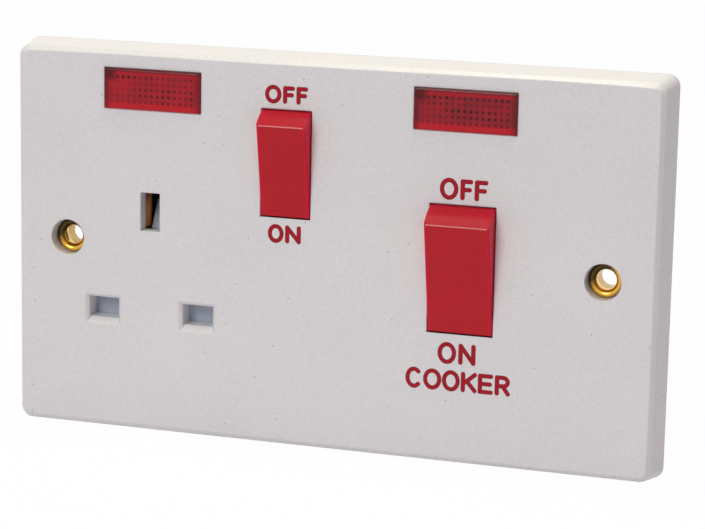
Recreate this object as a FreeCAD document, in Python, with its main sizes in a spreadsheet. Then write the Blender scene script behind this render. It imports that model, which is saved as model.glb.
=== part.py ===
import FreeCAD, Part
import math
import os
import re
import Sketcher

# Cooker control unit: a two-gang wall plate with a 13 A switched socket, a double-pole cooker
# switch, two neon indicators and the rear moulding that holds the contacts and terminals.
# Millimetres. X runs right, Z up, the front faces -Y, and the origin is the centre of the
# plate's back plane, where it meets the wall. Both switches are modelled in the ON position.

doc = FreeCAD.newDocument("CookerControlUnit")
sheet = doc.addObject("Spreadsheet::Sheet", "Sizes")

SIZES = {
    # Front plate
    "plate_width": 146.0,
    "plate_height": 86.0,
    "plate_depth": 8.5,
    "plate_draft": 7.5,
    "plate_corner": 2.6,
    "edge_chamfer": 1.0,
    "front_wall": 3.0,
    "skirt_wall": 2.6,
    # Fixing bushes
    "fixing_inset": 12.7,
    "bush_bore": 2.1,
    "bush_wall": 0.6,
    "bush_flange": 3.7,
    "bush_flange_thickness": 0.7,
    "bush_flare": 3.4,
    "bush_flare_thickness": 0.5,
    "bush_gap": 0.05,
    "bush_recess": 2.4,
    "recess_radius": 3.9,
    "boss_radius": 5.6,
    # Socket pins and slots
    "socket_x": -40.75,
    "earth_z": 7.0,
    "pin_pitch": 22.2,
    "earth_slot_width": 4.5,
    "earth_slot_height": 8.5,
    "pin_slot_width": 7.1,
    "pin_slot_height": 4.65,
    "pin_slot_bevel": 0.65,
    "pin_slot_sill": 1.35,
    "slot_tunnel": 4.7,
    "slot_collar": 2.2,
    # Rockers
    "socket_rocker_x": -9.56,
    "socket_rocker_z": 19.8,
    "socket_aperture_width": 11.45,
    "socket_aperture_height": 23.45,
    "socket_pivot_depth": 5.3,
    "socket_tilt": 11.0,
    "cooker_rocker_x": 29.85,
    "cooker_aperture_width": 14.55,
    "cooker_aperture_height": 27.8,
    "cooker_pivot_depth": 5.96,
    "cooker_tilt": 11.6,
    "rocker_gap": 0.38,
    "rocker_side_gap": 0.2,
    "rocker_wall": 1.6,
    "rocker_side_round": 0.4,
    "rocker_skirt_angle": 80.0,
    "trunnion_radius": 1.4,
    "trunnion_clearance": 0.05,
    "lug_wall": 1.8,
    "lug_height": 6.4,
    "lug_rear": 2.8,
    "leg_length": 7.5,
    "leg_thickness": 6.0,
    "socket_leg_width": 6.4,
    "cooker_leg_width": 13.0,
    # Neon lenses, lamps and carriers
    "lens_from_top": 9.25,
    "socket_lens_x": -40.3,
    "lens_width": 22.4,
    "lens_height": 8.85,
    "lens_gap": 0.05,
    "lens_proud": 0.6,
    "lens_edge": 0.5,
    "lens_wall": 1.1,
    "lens_front": 1.6,
    "lens_flange": 1.0,
    "lens_flange_thickness": 1.0,
    "lens_rib": 1.2,
    "prism_pitch": 1.33,
    "prism_depth": 0.55,
    "prism_flat": 0.14,
    "lamp_radius": 1.8,
    "lamp_length": 13.0,
    "lamp_clearance": 0.1,
    "carrier_width": 17.4,
    "carrier_height": 9.6,
    "carrier_back": 0.7,
    # Switch poles
    "cooker_reach": 14.0,
    "socket_reach": 12.0,
    "cooker_pole_offset": 4.6,
    "plunger_radius": 1.5,
    "plunger_clearance": 0.08,
    "plunger_length": 6.0,
    "plunger_flat": 0.45,
    "plunger_tip_gap": 0.12,
    "plunger_bore_depth": 12.0,
    "coil_wire": 0.22,
    "coil_turns": 3.0,
    "coil_gap": 0.15,
    "vee_angle": 13.0,
    "seesaw_tilt": 8.5,
    "seesaw_thickness": 1.2,
    "seesaw_seat": 0.6,
    "bead_radius": 1.0,
    "bead_clearance": 0.05,
    "contact_height": 0.8,
    "contact_width": 3.2,
    "contact_clearance": 0.12,
    "cooker_seesaw_width": 6.2,
    "cooker_arm": 10.5,
    "cooker_contact_arm": 8.7,
    "socket_seesaw_width": 4.6,
    "socket_arm": 8.4,
    "socket_contact_arm": 6.8,
    "strip_drop": 1.2,
    "strip_thickness": 1.2,
    "strip_clearance": 0.2,
    "cradle_height": 4.4,
    "cradle_rise": 0.9,
    "feed_width": 2.4,
    "feed_gap": 1.2,
    "platform_margin": 1.0,
    "tab_length": 4.0,
    "tab_width": 3.0,
    "tab_from_end": 4.0,
    "line_tab_drop": 4.0,
    "landing_inset": 1.2,
    # Terminals
    "terminal_width": 11.0,
    "terminal_height": 9.0,
    "terminal_depth": 11.0,
    "terminal_x": 8.6,
    "terminal_z": 22.9,
    "earth_terminal_x": 4.0,
    "cable_radius": 3.1,
    "cable_floor": 0.8,
    "terminal_screw_radius": 1.75,
    "terminal_screw_pitch": 4.4,
    "terminal_screw_length": 3.8,
    "terminal_head_height": 1.6,
    "terminal_gap": 0.3,
    "thread_clearance": 0.05,
    # Socket contacts and shutter
    "leaf_thickness": 0.8,
    "grip_share": 0.4,
    "tail_share": 0.6,
    "mouth_half": 2.7,
    "grip_half": 1.75,
    "tail_half": 2.1,
    "pin_clip_width": 4.2,
    "earth_clip_height": 8.0,
    "shutter_thickness": 3.2,
    "shutter_gap": 0.15,
    "shutter_travel": 5.8,
    "shutter_overlap": 0.6,
    "shutter_stem_width": 5.0,
    "ramp_width": 3.1,
    "ramp_depth": 3.4,
    "shutter_coil_radius": 1.4,
    "shutter_coil_length": 9.16,
    "spring_seat_half": 3.0,
    "spring_seat_wall": 1.4,
    "strap_thickness": 0.7,
    "strap_width": 7.0,
    # Rear base
    "base_left": -55.8,
    "base_right": 47.4,
    "terminal_flush": 0.1,
    "base_wall": 1.7,
    "base_floor": 2.4,
    "bay_clearance": 0.6,
    "switch_bay_left": -17.1,
    "switch_bay_right": -0.9,
    "chamber_half_width": 14.0,
    "chamber_half_height": 15.5,
    "barrier_gap": 0.7,
    "base_corner": 1.5,
    "base_screw_radius": 1.4,
    "base_screw_head": 2.6,
    "base_screw_head_height": 1.8,
    "base_screw_grip": 3.0,
    "screw_post_radius": 3.3,
    "post_left": 6.2,
    "post_right": 20.5,
    "post_rise": 8.6,
    "pilot_wall": 1.0,
    "strip_post": 3.4,
    "slim_post": 2.0,
    "barrier_drop": 3.0,
    "keeper_wall": 1.4,
    # Neon leads
    "lead_radius": 0.45,
    "lead_bend": 1.5,
    "resistor_radius": 1.2,
    "resistor_length": 6.5,
}

for row, (alias, size) in enumerate(SIZES.items(), start=1):
    sheet.set(f"A{row}", alias)
    sheet.set(f"B{row}", str(size))
    sheet.setAlias(f"B{row}", alias)
doc.recompute()

# Levels along Y, worked out from the driving sizes
FACE = "(-plate_depth)"
INNER = "(front_wall - plate_depth)"
COOKER_PIVOT = "(cooker_pivot_depth - plate_depth)"
SOCKET_PIVOT = "(socket_pivot_depth - plate_depth)"
COOKER_HINGE = f"({COOKER_PIVOT} + cooker_reach)"
SOCKET_HINGE = f"({SOCKET_PIVOT} + socket_reach)"
DEEP = f"({COOKER_HINGE} + strip_drop)"
SHALLOW = f"({SOCKET_HINGE} + strip_drop)"
FLOOR = f"({DEEP} + strip_thickness)"
REAR = f"({FLOOR} + base_floor)"
BLOCK_FRONT = f"({REAR} - terminal_depth)"
CABLE_Y = f"({BLOCK_FRONT} + cable_floor + cable_radius)"
SHUTTER_FRONT = "(slot_tunnel - plate_depth + shutter_gap)"
SHUTTER_REAR = f"({SHUTTER_FRONT} + shutter_thickness)"

# Places on the front, X and Z
FIXING_X = "(plate_width / 2 - fixing_inset)"
LENS_Z = "(plate_height / 2 - lens_from_top)"
PIN_Z = "(earth_z - pin_pitch)"
LINE_X = "(socket_x + pin_pitch / 2)"
NEUTRAL_X = "(socket_x - pin_pitch / 2)"
HIGH = "(terminal_z + terminal_height / 2 + terminal_flush)"
LOW = f"(-{HIGH})"
BASE_SCREWS = [
    ("socket_x - post_left", "earth_z + post_rise"),
    ("socket_x + post_right", f"screw_post_radius - {HIGH} + base_wall / 2"),
    ("cooker_rocker_x", "-terminal_z"),
]


def cells(formula):
    """The formula as an expression on the sheet's cells."""
    def as_cell(word):
        return f"Sizes.{word[0]}" if word[0] in SIZES else word[0]
    return re.sub(r"[a-z_]+[a-z_0-9]*", as_cell, str(formula))


def number(formula):
    """The formula's present value."""
    found = sheet.evalExpression(cells(formula))
    return float(getattr(found, "Value", found))


def new_body(node):
    body = doc.addObject("PartDesign::Body", node)
    body.Label = node
    return body


def seat(piece, x="0", y="0", z="0", turn=None):
    """Place a piece, turned about X by an angle in degrees."""
    if turn is not None:
        piece.Placement = FreeCAD.Placement(FreeCAD.Vector(), FreeCAD.Rotation(FreeCAD.Vector(1, 0, 0), 1))
        piece.setExpression("Placement.Rotation.Angle", cells(f"({turn}) * 1 deg"))
    for axis, formula in zip("xyz", (x, y, z)):
        piece.setExpression(f"Placement.Base.{axis}", cells(formula))


def sketch_on(body, name, role, offsets):
    drawn = body.newObject("Sketcher::SketchObject", name)
    plane = next(feature for feature in body.Origin.OriginFeatures if feature.Role == role)
    drawn.AttachmentSupport = [(plane, "")]
    drawn.MapMode = "FlatFace"
    for axis, formula in zip("xyz", offsets):
        drawn.setExpression(f"AttachmentOffset.Base.{axis}", cells(formula))
    return drawn


def front_sketch(body, name, y, x="0", z="0"):
    """Sketch across X and Z at depth y: pads grow to the front, pockets to the rear."""
    return sketch_on(body, name, "XZ_Plane", (x, z, f"-({y})"))


def side_sketch(body, name, x, y="0", z="0"):
    """Sketch across Y and Z at x: pads grow to the right, pockets to the left."""
    return sketch_on(body, name, "YZ_Plane", (y, z, x))


def level_sketch(body, name, z, x="0", y="0"):
    """Sketch across X and Y at height z: pads grow upward, pockets downward."""
    return sketch_on(body, name, "XY_Plane", (x, y, z))


def constrain(drawn, kind, place, formula):
    index = drawn.addConstraint(Sketcher.Constraint(kind, *place, number(formula)))
    drawn.setExpression(f"Constraints[{index}]", cells(formula))


def outline(drawn, corners):
    """A closed loop of straight edges, each corner held by its two coordinates."""
    points = [FreeCAD.Vector(number(across), number(up), 0) for across, up in corners]
    first = drawn.GeometryCount
    count = len(points)
    for index in range(count):
        drawn.addGeometry(Part.LineSegment(points[index], points[(index + 1) % count]))
    for index in range(count):
        following = first + (index + 1) % count
        drawn.addConstraint(Sketcher.Constraint("Coincident", first + index, 2, following, 1))
    for index, (across, up) in enumerate(corners):
        constrain(drawn, "DistanceX", (-1, 1, first + index, 1), across)
        constrain(drawn, "DistanceY", (-1, 1, first + index, 1), up)
    return drawn


def rectangle(drawn, wide, tall, across="0", up="0"):
    left, right = f"{across} - ({wide}) / 2", f"{across} + ({wide}) / 2"
    low, high = f"{up} - ({tall}) / 2", f"{up} + ({tall}) / 2"
    return span(drawn, left, right, low, high)


def span(drawn, left, right, low, high):
    return outline(drawn, [(left, low), (right, low), (right, high), (left, high)])


def circle(drawn, radius, across="0", up="0"):
    centre = FreeCAD.Vector(number(across), number(up), 0)
    index = drawn.addGeometry(Part.Circle(centre, FreeCAD.Vector(0, 0, 1), number(radius)))
    constrain(drawn, "Radius", (index,), radius)
    constrain(drawn, "DistanceX", (-1, 1, index, 3), across)
    constrain(drawn, "DistanceY", (-1, 1, index, 3), up)
    return drawn


def extrude(body, kind, drawn, length, back=False, taper=None):
    feature = body.newObject(f"PartDesign::{kind}", f"{drawn.Name}{kind}")
    feature.Profile = drawn
    feature.Reversed = back
    feature.setExpression("Length", cells(length))
    if taper is not None:
        feature.setExpression("TaperAngle", cells(f"({taper}) * 1 deg"))
    doc.recompute()
    return feature


def pad(body, drawn, length, **how):
    return extrude(body, "Pad", drawn, length, **how)


def pocket(body, drawn, length, **how):
    before = body.Shape.Volume
    feature = extrude(body, "Pocket", drawn, length, **how)
    if not body.Shape.Volume < before:
        raise RuntimeError(f"{drawn.Label} cuts nothing")
    return feature


def revolve(body, drawn, axis="V_Axis"):
    feature = body.newObject("PartDesign::Revolution", f"{drawn.Name}Turned")
    feature.Profile = drawn
    feature.ReferenceAxis = (drawn, [axis])
    feature.Angle = 360.0
    doc.recompute()
    return feature


def ease(body, kind, size, chosen):
    """Fillet or chamfer the edges of the body that the test chooses by their middle point and ends."""
    base = body.Tip
    names = []
    for index, edge in enumerate(base.Shape.Edges, start=1):
        if chosen(edge):
            names.append(f"Edge{index}")
    feature = body.newObject(f"PartDesign::{kind}", f"{base.Name}{kind}")
    feature.Base = (base, names)
    feature.setExpression("Radius" if kind == "Fillet" else "Size", cells(size))
    doc.recompute()
    return feature


def repeat(body, feature, drawn, axis, count, pitch):
    """A row of a feature's copies along one axis of its sketch."""
    pattern = body.newObject("PartDesign::LinearPattern", f"{feature.Name}Row")
    pattern.Originals = [feature]
    pattern.Direction = (drawn, [axis])
    pattern.Mode = "Extent"
    pattern.Occurrences = count
    pattern.setExpression("Length", cells(f"{pitch} * {count - 1}"))
    body.Tip = pattern
    doc.recompute()
    return pattern


def middle(edge):
    return edge.valueAt((edge.FirstParameter + edge.LastParameter) / 2)


def lies_at(value, formula, slack=0.01):
    return abs(value - number(formula)) < slack


def corner_radius(word):
    """Distance from a rocker's pivot to the corners of its front face."""
    return f"sqrt({word}_pivot_depth^2 + ({word}_aperture_height / 2 - rocker_gap)^2)"


def corner_angle(word):
    half = f"({word}_aperture_height / 2 - rocker_gap)"
    return f"(atan2({half}; {word}_pivot_depth) - {word}_tilt * 1 deg)"


def skirt_rear(word):
    return f"({corner_radius(word)} * cos(rocker_skirt_angle * 1 deg))"


ROCKERS = {
    "cooker": {"x": "cooker_rocker_x", "z": "0", "pivot": COOKER_PIVOT, "hinge": COOKER_HINGE},
    "socket": {"x": "socket_rocker_x", "z": "socket_rocker_z", "pivot": SOCKET_PIVOT, "hinge": SOCKET_HINGE},
}
LENSES = {"cooker": "cooker_rocker_x", "socket": "socket_lens_x"}


# Front plate: one white thermoset moulding with drafted sides and an eased front edge, hollow
# behind, with bosses for the fixing bushes and base screws and lugs that carry the rockers
plate = new_body("front_plate")
pad(plate, rectangle(front_sketch(plate, "PlateOutline", "0"), "plate_width", "plate_height"),
    "plate_depth", taper="-plate_draft")
ease(plate, "Fillet", "plate_corner",
     lambda edge: abs(edge.BoundBox.YLength - number("plate_depth")) < 0.01)
ease(plate, "Chamfer", "edge_chamfer",
     lambda edge: lies_at(middle(edge).y, FACE) and edge.BoundBox.YLength < 0.01)
hollow = rectangle(front_sketch(plate, "PlateHollow", "0"), "plate_width - 2 * skirt_wall",
                   "plate_height - 2 * skirt_wall")
pocket(plate, hollow, "plate_depth - front_wall", back=True)

bosses = front_sketch(plate, "FixingBosses", "-bush_flare_thickness")
circle(bosses, "boss_radius", FIXING_X)
pad(plate, bosses, f"-bush_flare_thickness - {INNER}")
strapped = front_sketch(plate, "StrappedBoss", "-bush_flare_thickness - strap_thickness")
circle(strapped, "boss_radius", f"-{FIXING_X}")
pad(plate, strapped, f"-bush_flare_thickness - strap_thickness - {INNER}")

screw_bosses = front_sketch(plate, "ScrewBosses", "0")
for screw_x, screw_z in BASE_SCREWS:
    circle(screw_bosses, "screw_post_radius", screw_x, screw_z)
pad(plate, screw_bosses, f"-{INNER}")

collars = front_sketch(plate, "SlotCollars", "slot_tunnel - plate_depth")
for pin_x in (LINE_X, NEUTRAL_X):
    rectangle(collars, "pin_slot_width + 2 * slot_collar", "pin_slot_height + 2 * slot_collar", pin_x, PIN_Z)
pad(plate, collars, "slot_tunnel - front_wall")

lens_ribs = front_sketch(plate, "LensRibs", "-lens_gap")
for lens_x in LENSES.values():
    for sign in (-1, 1):
        edge_z = f"{LENS_Z} + {sign} * (lens_height / 2 + lens_flange + lens_gap + lens_rib / 2)"
        rectangle(lens_ribs, "carrier_width", "lens_rib", lens_x, edge_z)
pad(plate, lens_ribs, f"-lens_gap - {INNER}")

spring_seat = front_sketch(plate, "SpringSeat", SHUTTER_REAR)
seat_top = f"{PIN_Z} - pin_slot_height / 2 - shutter_overlap - shutter_coil_length"
span(spring_seat, "socket_x - spring_seat_half", "socket_x + spring_seat_half",
     f"{seat_top} - spring_seat_wall", seat_top)
pad(plate, spring_seat, f"{SHUTTER_REAR} - {INNER}")

for word, place in ROCKERS.items():
    lugs = front_sketch(plate, f"{word}Lugs", f"{place['pivot']} + lug_rear")
    for sign in (-1, 1):
        lug_x = f"{place['x']} + {sign} * ({word}_aperture_width / 2 + lug_wall / 2)"
        rectangle(lugs, "lug_wall", "lug_height", lug_x, place["z"])
    pad(plate, lugs, f"{place['pivot']} + lug_rear - {INNER}")

for word, place in ROCKERS.items():
    reach = f"sqrt({corner_radius(word)}^2 - ({word}_pivot_depth - front_wall)^2)"
    flared = f"({reach} + 2 * rocker_gap)"
    half = f"({word}_aperture_height / 2)"
    right_side = f"{place['x']} + {word}_aperture_width / 2"
    aperture = side_sketch(plate, f"{word}Aperture", right_side, z=place["z"])
    outline(aperture, [(FACE, f"-{half}"), (INNER, f"-{flared}"), (INNER, flared), (FACE, half)])
    pocket(plate, aperture, f"{word}_aperture_width")
    bearing = side_sketch(plate, f"{word}Bearing", f"{right_side} + lug_wall", y=place["pivot"], z=place["z"])
    circle(bearing, "trunnion_radius + trunnion_clearance")
    pocket(plate, bearing, f"{word}_aperture_width + 2 * lug_wall")

windows = front_sketch(plate, "LensWindows", FACE)
for lens_x in LENSES.values():
    rectangle(windows, "lens_width + 2 * lens_gap", "lens_height + 2 * lens_gap", lens_x, LENS_Z)
pocket(plate, windows, "front_wall")

earth_slot = front_sketch(plate, "EarthSlot", FACE)
rectangle(earth_slot, "earth_slot_width", "earth_slot_height", "socket_x", "earth_z")
pocket(plate, earth_slot, "front_wall")
pin_slots = front_sketch(plate, "PinSlots", FACE)
for pin_x in (LINE_X, NEUTRAL_X):
    rectangle(pin_slots, "pin_slot_width", "pin_slot_height", pin_x, PIN_Z)
pocket(plate, pin_slots, "slot_tunnel")


def on_pin_slot(edge):
    point = middle(edge)
    near_line = abs(point.x - number(LINE_X)) <= number("pin_slot_width") / 2 + 0.01
    near_neutral = abs(point.x - number(NEUTRAL_X)) <= number("pin_slot_width") / 2 + 0.01
    near_height = abs(point.z - number(PIN_Z)) <= number("pin_slot_height") / 2 + 0.01
    flat = edge.BoundBox.YLength < 0.01
    return flat and lies_at(point.y, FACE) and near_height and (near_line or near_neutral)


# Below each pin slot a wider slope leads the pin in
sill_low = f"({PIN_Z} - pin_slot_height / 2 - pin_slot_sill)"
sill_high = f"({sill_low} + pin_slot_sill)"
for word, pin_x in (("Line", LINE_X), ("Neutral", NEUTRAL_X)):
    sill = side_sketch(plate, f"{word}SlotSill", f"{pin_x} + pin_slot_width / 2")
    outline(sill, [(FACE, sill_low), (f"{FACE} + pin_slot_sill", sill_high), (FACE, sill_high)])
    pocket(plate, sill, "pin_slot_width")
ease(plate, "Chamfer", "pin_slot_bevel", on_pin_slot)

recesses = front_sketch(plate, "FixingRecesses", FACE)
barrels = front_sketch(plate, "FixingBarrels", FACE)
for sign in (-1, 1):
    circle(recesses, "recess_radius", f"{sign} * {FIXING_X}")
    circle(barrels, "bush_bore + bush_wall + bush_gap", f"{sign} * {FIXING_X}")
pocket(plate, recesses, "bush_recess + bush_flange_thickness")
pocket(plate, barrels, "plate_depth")
threads = front_sketch(plate, "ScrewPilots", "0")
for screw_x, screw_z in BASE_SCREWS:
    circle(threads, "base_screw_radius + thread_clearance", screw_x, screw_z)
pocket(plate, threads, f"-{INNER} - pilot_wall", back=True)


def fixing_bush(node, x):
    """A brass eyelet: a rounded flange in the plate's recess and a barrel flared over behind."""
    body = new_body(node)
    profile = level_sketch(body, f"{node}_profile", "0")
    front = "(bush_recess - plate_depth)"
    barrel = "(bush_bore + bush_wall)"
    flare_front = "(-bush_flare_thickness)"
    mouth = "(bush_bore + bush_flange_thickness)"
    outline(profile, [
        ("bush_bore", "0"), ("bush_flare", "0"), (barrel, flare_front),
        (barrel, f"{front} + bush_flange_thickness"), ("bush_flange", f"{front} + bush_flange_thickness"),
        (f"(bush_flange + {mouth}) / 2", front), ("bush_bore", f"{front} + 2 * bush_flange_thickness")])
    revolve(body, profile)
    seat(body, x=x)
    return body


fixing_bush("left_fixing_bush", f"-{FIXING_X}")
fixing_bush("right_fixing_bush", FIXING_X)


def rocker(word, poles):
    """A red rocker: a drum about its pivot cut off by a flat finger face, with a leg behind that
    holds the spring plungers and a trunnion each side that turns in the plate's lugs."""
    place = ROCKERS[word]
    body = new_body(f"{word}_rocker")
    radius = corner_radius(word)
    face = f"({radius} * cos({corner_angle(word)}))"
    half_face = f"({radius} * sin({corner_angle(word)}))"
    width = f"({word}_aperture_width - 2 * rocker_side_gap)"
    beyond = f"({radius} + rocker_wall)"
    drum = side_sketch(body, f"{word}Drum", f"-{width} / 2")
    pad(body, circle(drum, radius), width)
    finger = side_sketch(body, f"{word}FingerFace", f"{width} / 2")
    span(finger, f"-{beyond}", f"-{face}", f"-{beyond}", beyond)
    pocket(body, finger, width)
    skirt = side_sketch(body, f"{word}Skirt", f"{width} / 2")
    span(skirt, f"-{skirt_rear(word)}", beyond, f"-{beyond}", beyond)
    pocket(body, skirt, width)
    front = number(f"-{face}")
    ease(body, "Fillet", "rocker_side_round", lambda edge: edge.BoundBox.YMax < front + 0.01
         and edge.BoundBox.XLength < 0.01)
    inside = front_sketch(body, f"{word}Inside", f"-{skirt_rear(word)}")
    rectangle(inside, f"{width} - 2 * rocker_wall", f"2 * {half_face} - rocker_wall")
    pocket(body, inside, f"{face} - rocker_wall - {skirt_rear(word)}", back=True)
    leg = front_sketch(body, f"{word}Leg", "leg_length")
    rectangle(leg, f"{word}_leg_width", "leg_thickness")
    pad(body, leg, f"leg_length + {face} - rocker_wall")
    pin_half = f"({word}_aperture_width / 2 + lug_wall)"
    trunnion = side_sketch(body, f"{word}Trunnion", f"-{pin_half}")
    pad(body, circle(trunnion, "trunnion_radius"), f"2 * {pin_half}")
    bores = front_sketch(body, f"{word}Bores", "leg_length")
    for offset in poles:
        circle(bores, "plunger_radius + plunger_clearance", offset)
    pocket(body, bores, "plunger_bore_depth", back=True)
    seat(body, place["x"], place["pivot"], place["z"], turn=f"{word}_tilt")
    return body


COOKER_POLES = {"neutral": "(-cooker_pole_offset)", "line": "cooker_pole_offset"}
rocker("cooker", COOKER_POLES.values())
rocker("socket", ["0"])


def neon_lens(word):
    """A clear red cap with a retaining flange and rows of prisms moulded inside its face."""
    body = new_body(f"{word}_neon_lens")
    cap = rectangle(front_sketch(body, f"{word}Cap", "front_wall"), "lens_width", "lens_height")
    pad(body, cap, "front_wall + lens_proud")
    ease(body, "Fillet", "lens_edge", lambda edge: lies_at(edge.BoundBox.YMax, "-lens_proud"))
    flange = front_sketch(body, f"{word}Flange", "front_wall + lens_flange_thickness")
    rectangle(flange, "lens_width + 2 * lens_flange", "lens_height + 2 * lens_flange")
    pad(body, flange, "lens_flange_thickness")
    inner_width = "(lens_width - 2 * lens_wall)"
    inner_height = "(lens_height - 2 * lens_wall)"
    cavity = front_sketch(body, f"{word}Cavity", "front_wall + lens_flange_thickness")
    rectangle(cavity, inner_width, inner_height)
    pocket(body, cavity, "front_wall + lens_flange_thickness + lens_proud - lens_front", back=True)
    bed = "(lens_front - lens_proud)"
    half = "((prism_pitch - prism_flat) / 2)"
    rows = int(number(f"{inner_height} / prism_pitch"))
    columns = int(number(f"{inner_width} / prism_pitch"))
    lowest = f"(-{rows - 2} * prism_pitch / 2)"
    leftmost = f"(-{columns - 2} * prism_pitch / 2)"
    across = side_sketch(body, f"{word}GrooveAcross", f"{inner_width} / 2")
    ridge = f"{bed} - prism_depth"
    outline(across, [(bed, f"{lowest} - {half}"), (ridge, lowest), (bed, f"{lowest} + {half}")])
    cut_across = pocket(body, across, inner_width)
    repeat(body, cut_across, across, "V_Axis", rows - 1, "prism_pitch")
    down = level_sketch(body, f"{word}GrooveDown", f"{inner_height} / 2")
    outline(down, [(f"{leftmost} - {half}", bed), (leftmost, ridge), (f"{leftmost} + {half}", bed)])
    cut_down = pocket(body, down, inner_height)
    repeat(body, cut_down, down, "H_Axis", columns - 1, "prism_pitch")
    seat(body, LENSES[word], FACE, LENS_Z)
    return body


for word in LENSES:
    neon_lens(word)


LAMP_Y = f"({INNER} + lens_flange_thickness + lamp_radius + lamp_clearance)"


def neon_lamp(word):
    """A small glass tube sealed at both ends, lying along the lens."""
    body = new_body(f"{word}_neon_lamp")
    tube = side_sketch(body, f"{word}Tube", "-lamp_length / 2")
    pad(body, circle(tube, "lamp_radius"), "lamp_length")
    seat(body, LENSES[word], LAMP_Y, LENS_Z)
    return body


def neon_carrier(word):
    """A white trough that presses the lamp up to the lens and shuts off stray light."""
    body = new_body(f"{word}_neon_carrier")
    depth = "(2 * lamp_radius + lamp_clearance + carrier_back)"
    front = f"({INNER} + lens_flange_thickness)"
    block = front_sketch(body, f"{word}CarrierBlock", depth)
    pad(body, rectangle(block, "carrier_width", "carrier_height"), depth)
    trough = front_sketch(body, f"{word}Trough", "0")
    rectangle(trough, "lamp_length + 2 * lamp_clearance", "2 * lamp_radius + 2 * lamp_clearance")
    pocket(body, trough, "2 * lamp_radius + 2 * lamp_clearance")
    notches = front_sketch(body, f"{word}LeadNotches", "0")
    rectangle(notches, "carrier_width", "4 * lead_radius")
    pocket(body, notches, "lamp_radius + lamp_clearance + 2 * lead_radius")
    seat(body, LENSES[word], front, LENS_Z)
    return body


for word in LENSES:
    neon_lamp(word)
    neon_carrier(word)


FLATS = [math.pi * side / 2 for side in range(4)]
VEE_FRONT = "(seesaw_seat + seesaw_thickness / 2 / cos(vee_angle * 1 deg))"
VEE_BACK = "(seesaw_seat - seesaw_thickness / 2 / cos(vee_angle * 1 deg))"


def arm_point(along, off, up):
    """A point on a see-saw arm: distance along it from the vee, and off its middle plane to the back."""
    depth = f"(-seesaw_seat - ({along}) * sin(vee_angle * 1 deg) + ({off}) * cos(vee_angle * 1 deg))"
    height = f"({up} * (({along}) * cos(vee_angle * 1 deg) + ({off}) * sin(vee_angle * 1 deg)))"
    return depth, height


def seesaw(node, word, x):
    """A moving contact: a shallow vee of copper that rocks on a bead across its middle."""
    place = ROCKERS[word]
    body = new_body(node)
    half = "(seesaw_thickness / 2)"
    width = f"{word}_seesaw_width"
    arms = side_sketch(body, f"{node}_arms", f"-{width} / 2")
    outline(arms, [
        arm_point(f"{word}_arm", half, 1), arm_point(f"{word}_arm", f"-{half}", 1), (f"-{VEE_FRONT}", "0"),
        arm_point(f"{word}_arm", f"-{half}", -1), arm_point(f"{word}_arm", half, -1), (f"-{VEE_BACK}", "0")])
    pad(body, arms, width)
    bead = side_sketch(body, f"{node}_bead", f"-{width} / 2")
    pad(body, circle(bead, "bead_radius"), width)
    near = f"({word}_contact_arm - contact_width / 2)"
    far = f"({word}_contact_arm + contact_width / 2)"
    tip = side_sketch(body, f"{node}_contact", "-contact_width / 2")
    outline(tip, [arm_point(near, "0", 1), arm_point(near, f"{half} + contact_height", 1),
                  arm_point(far, f"{half} + contact_height", 1), arm_point(far, "0", 1)])
    pad(body, tip, "contact_width")
    seat(body, x, place["hinge"], place["z"], turn="-seesaw_tilt")
    return body


def plunger_tip(word):
    """Distance from a rocker's pivot to the end of its plungers."""
    dome = "(plunger_radius + plunger_tip_gap) / cos(vee_angle * 1 deg)"
    return f"({word}_reach - {VEE_FRONT} - {dome} + plunger_radius)"


def plunger(node, word, offset):
    """A nylon plunger with a blunt tip in the rocker's leg, held out by its coil spring."""
    place = ROCKERS[word]
    body = new_body(node)
    profile = level_sketch(body, f"{node}_profile", "0", offset)
    tip = plunger_tip(word)
    outline(profile, [
        ("0", f"{tip} - plunger_length"), ("plunger_radius", f"{tip} - plunger_length"),
        ("plunger_radius", f"{tip} - plunger_radius"), ("plunger_flat", tip), ("0", tip)])
    revolve(body, profile)
    seat(body, place["x"], place["pivot"], place["z"], turn=f"{word}_tilt")
    return body


def coil(radius, length):
    """A compression spring along Z with its lowest turn at the origin, its wire drawn with four flats."""
    turns, wire, steps = number("coil_turns"), number("coil_wire"), 8
    sections = []
    for step in range(int(turns * steps) + 1):
        angle = 2 * math.pi * step / steps
        out = FreeCAD.Vector(math.cos(angle), math.sin(angle), 0)
        centre = out * radius + FreeCAD.Vector(0, 0, length * step / (turns * steps))
        flats = [out * math.cos(side) + FreeCAD.Vector(0, 0, math.sin(side)) for side in FLATS]
        corners = [centre + flat * wire for flat in flats]
        sections.append(Part.makePolygon(corners + corners[:1]))
    return Part.makeLoft(sections, True, True)


def plunger_spring(node, word, offset):
    """The coil between the bottom of the leg's bore and its plunger."""
    place = ROCKERS[word]
    bore_end = "(leg_length - plunger_bore_depth)"
    inset = number("coil_wire + coil_gap")
    length = number(f"{plunger_tip(word)} - plunger_length - {bore_end}") - 2 * inset
    spring = doc.addObject("Part::Feature", node)
    spring.Label = node
    spring.Shape = coil(number("plunger_radius - coil_wire - coil_gap"), length)
    pivot = FreeCAD.Vector(number(place["x"]), number(place["pivot"]), number(place["z"]))
    along_x = FreeCAD.Vector(1, 0, 0)
    bore = FreeCAD.Vector(number(offset), number(bore_end) + inset, 0)
    in_leg = FreeCAD.Placement(bore, FreeCAD.Rotation(along_x, -90))
    spring.Placement = FreeCAD.Placement(pivot, FreeCAD.Rotation(along_x, number(f"{word}_tilt"))) * in_leg
    return spring


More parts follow.
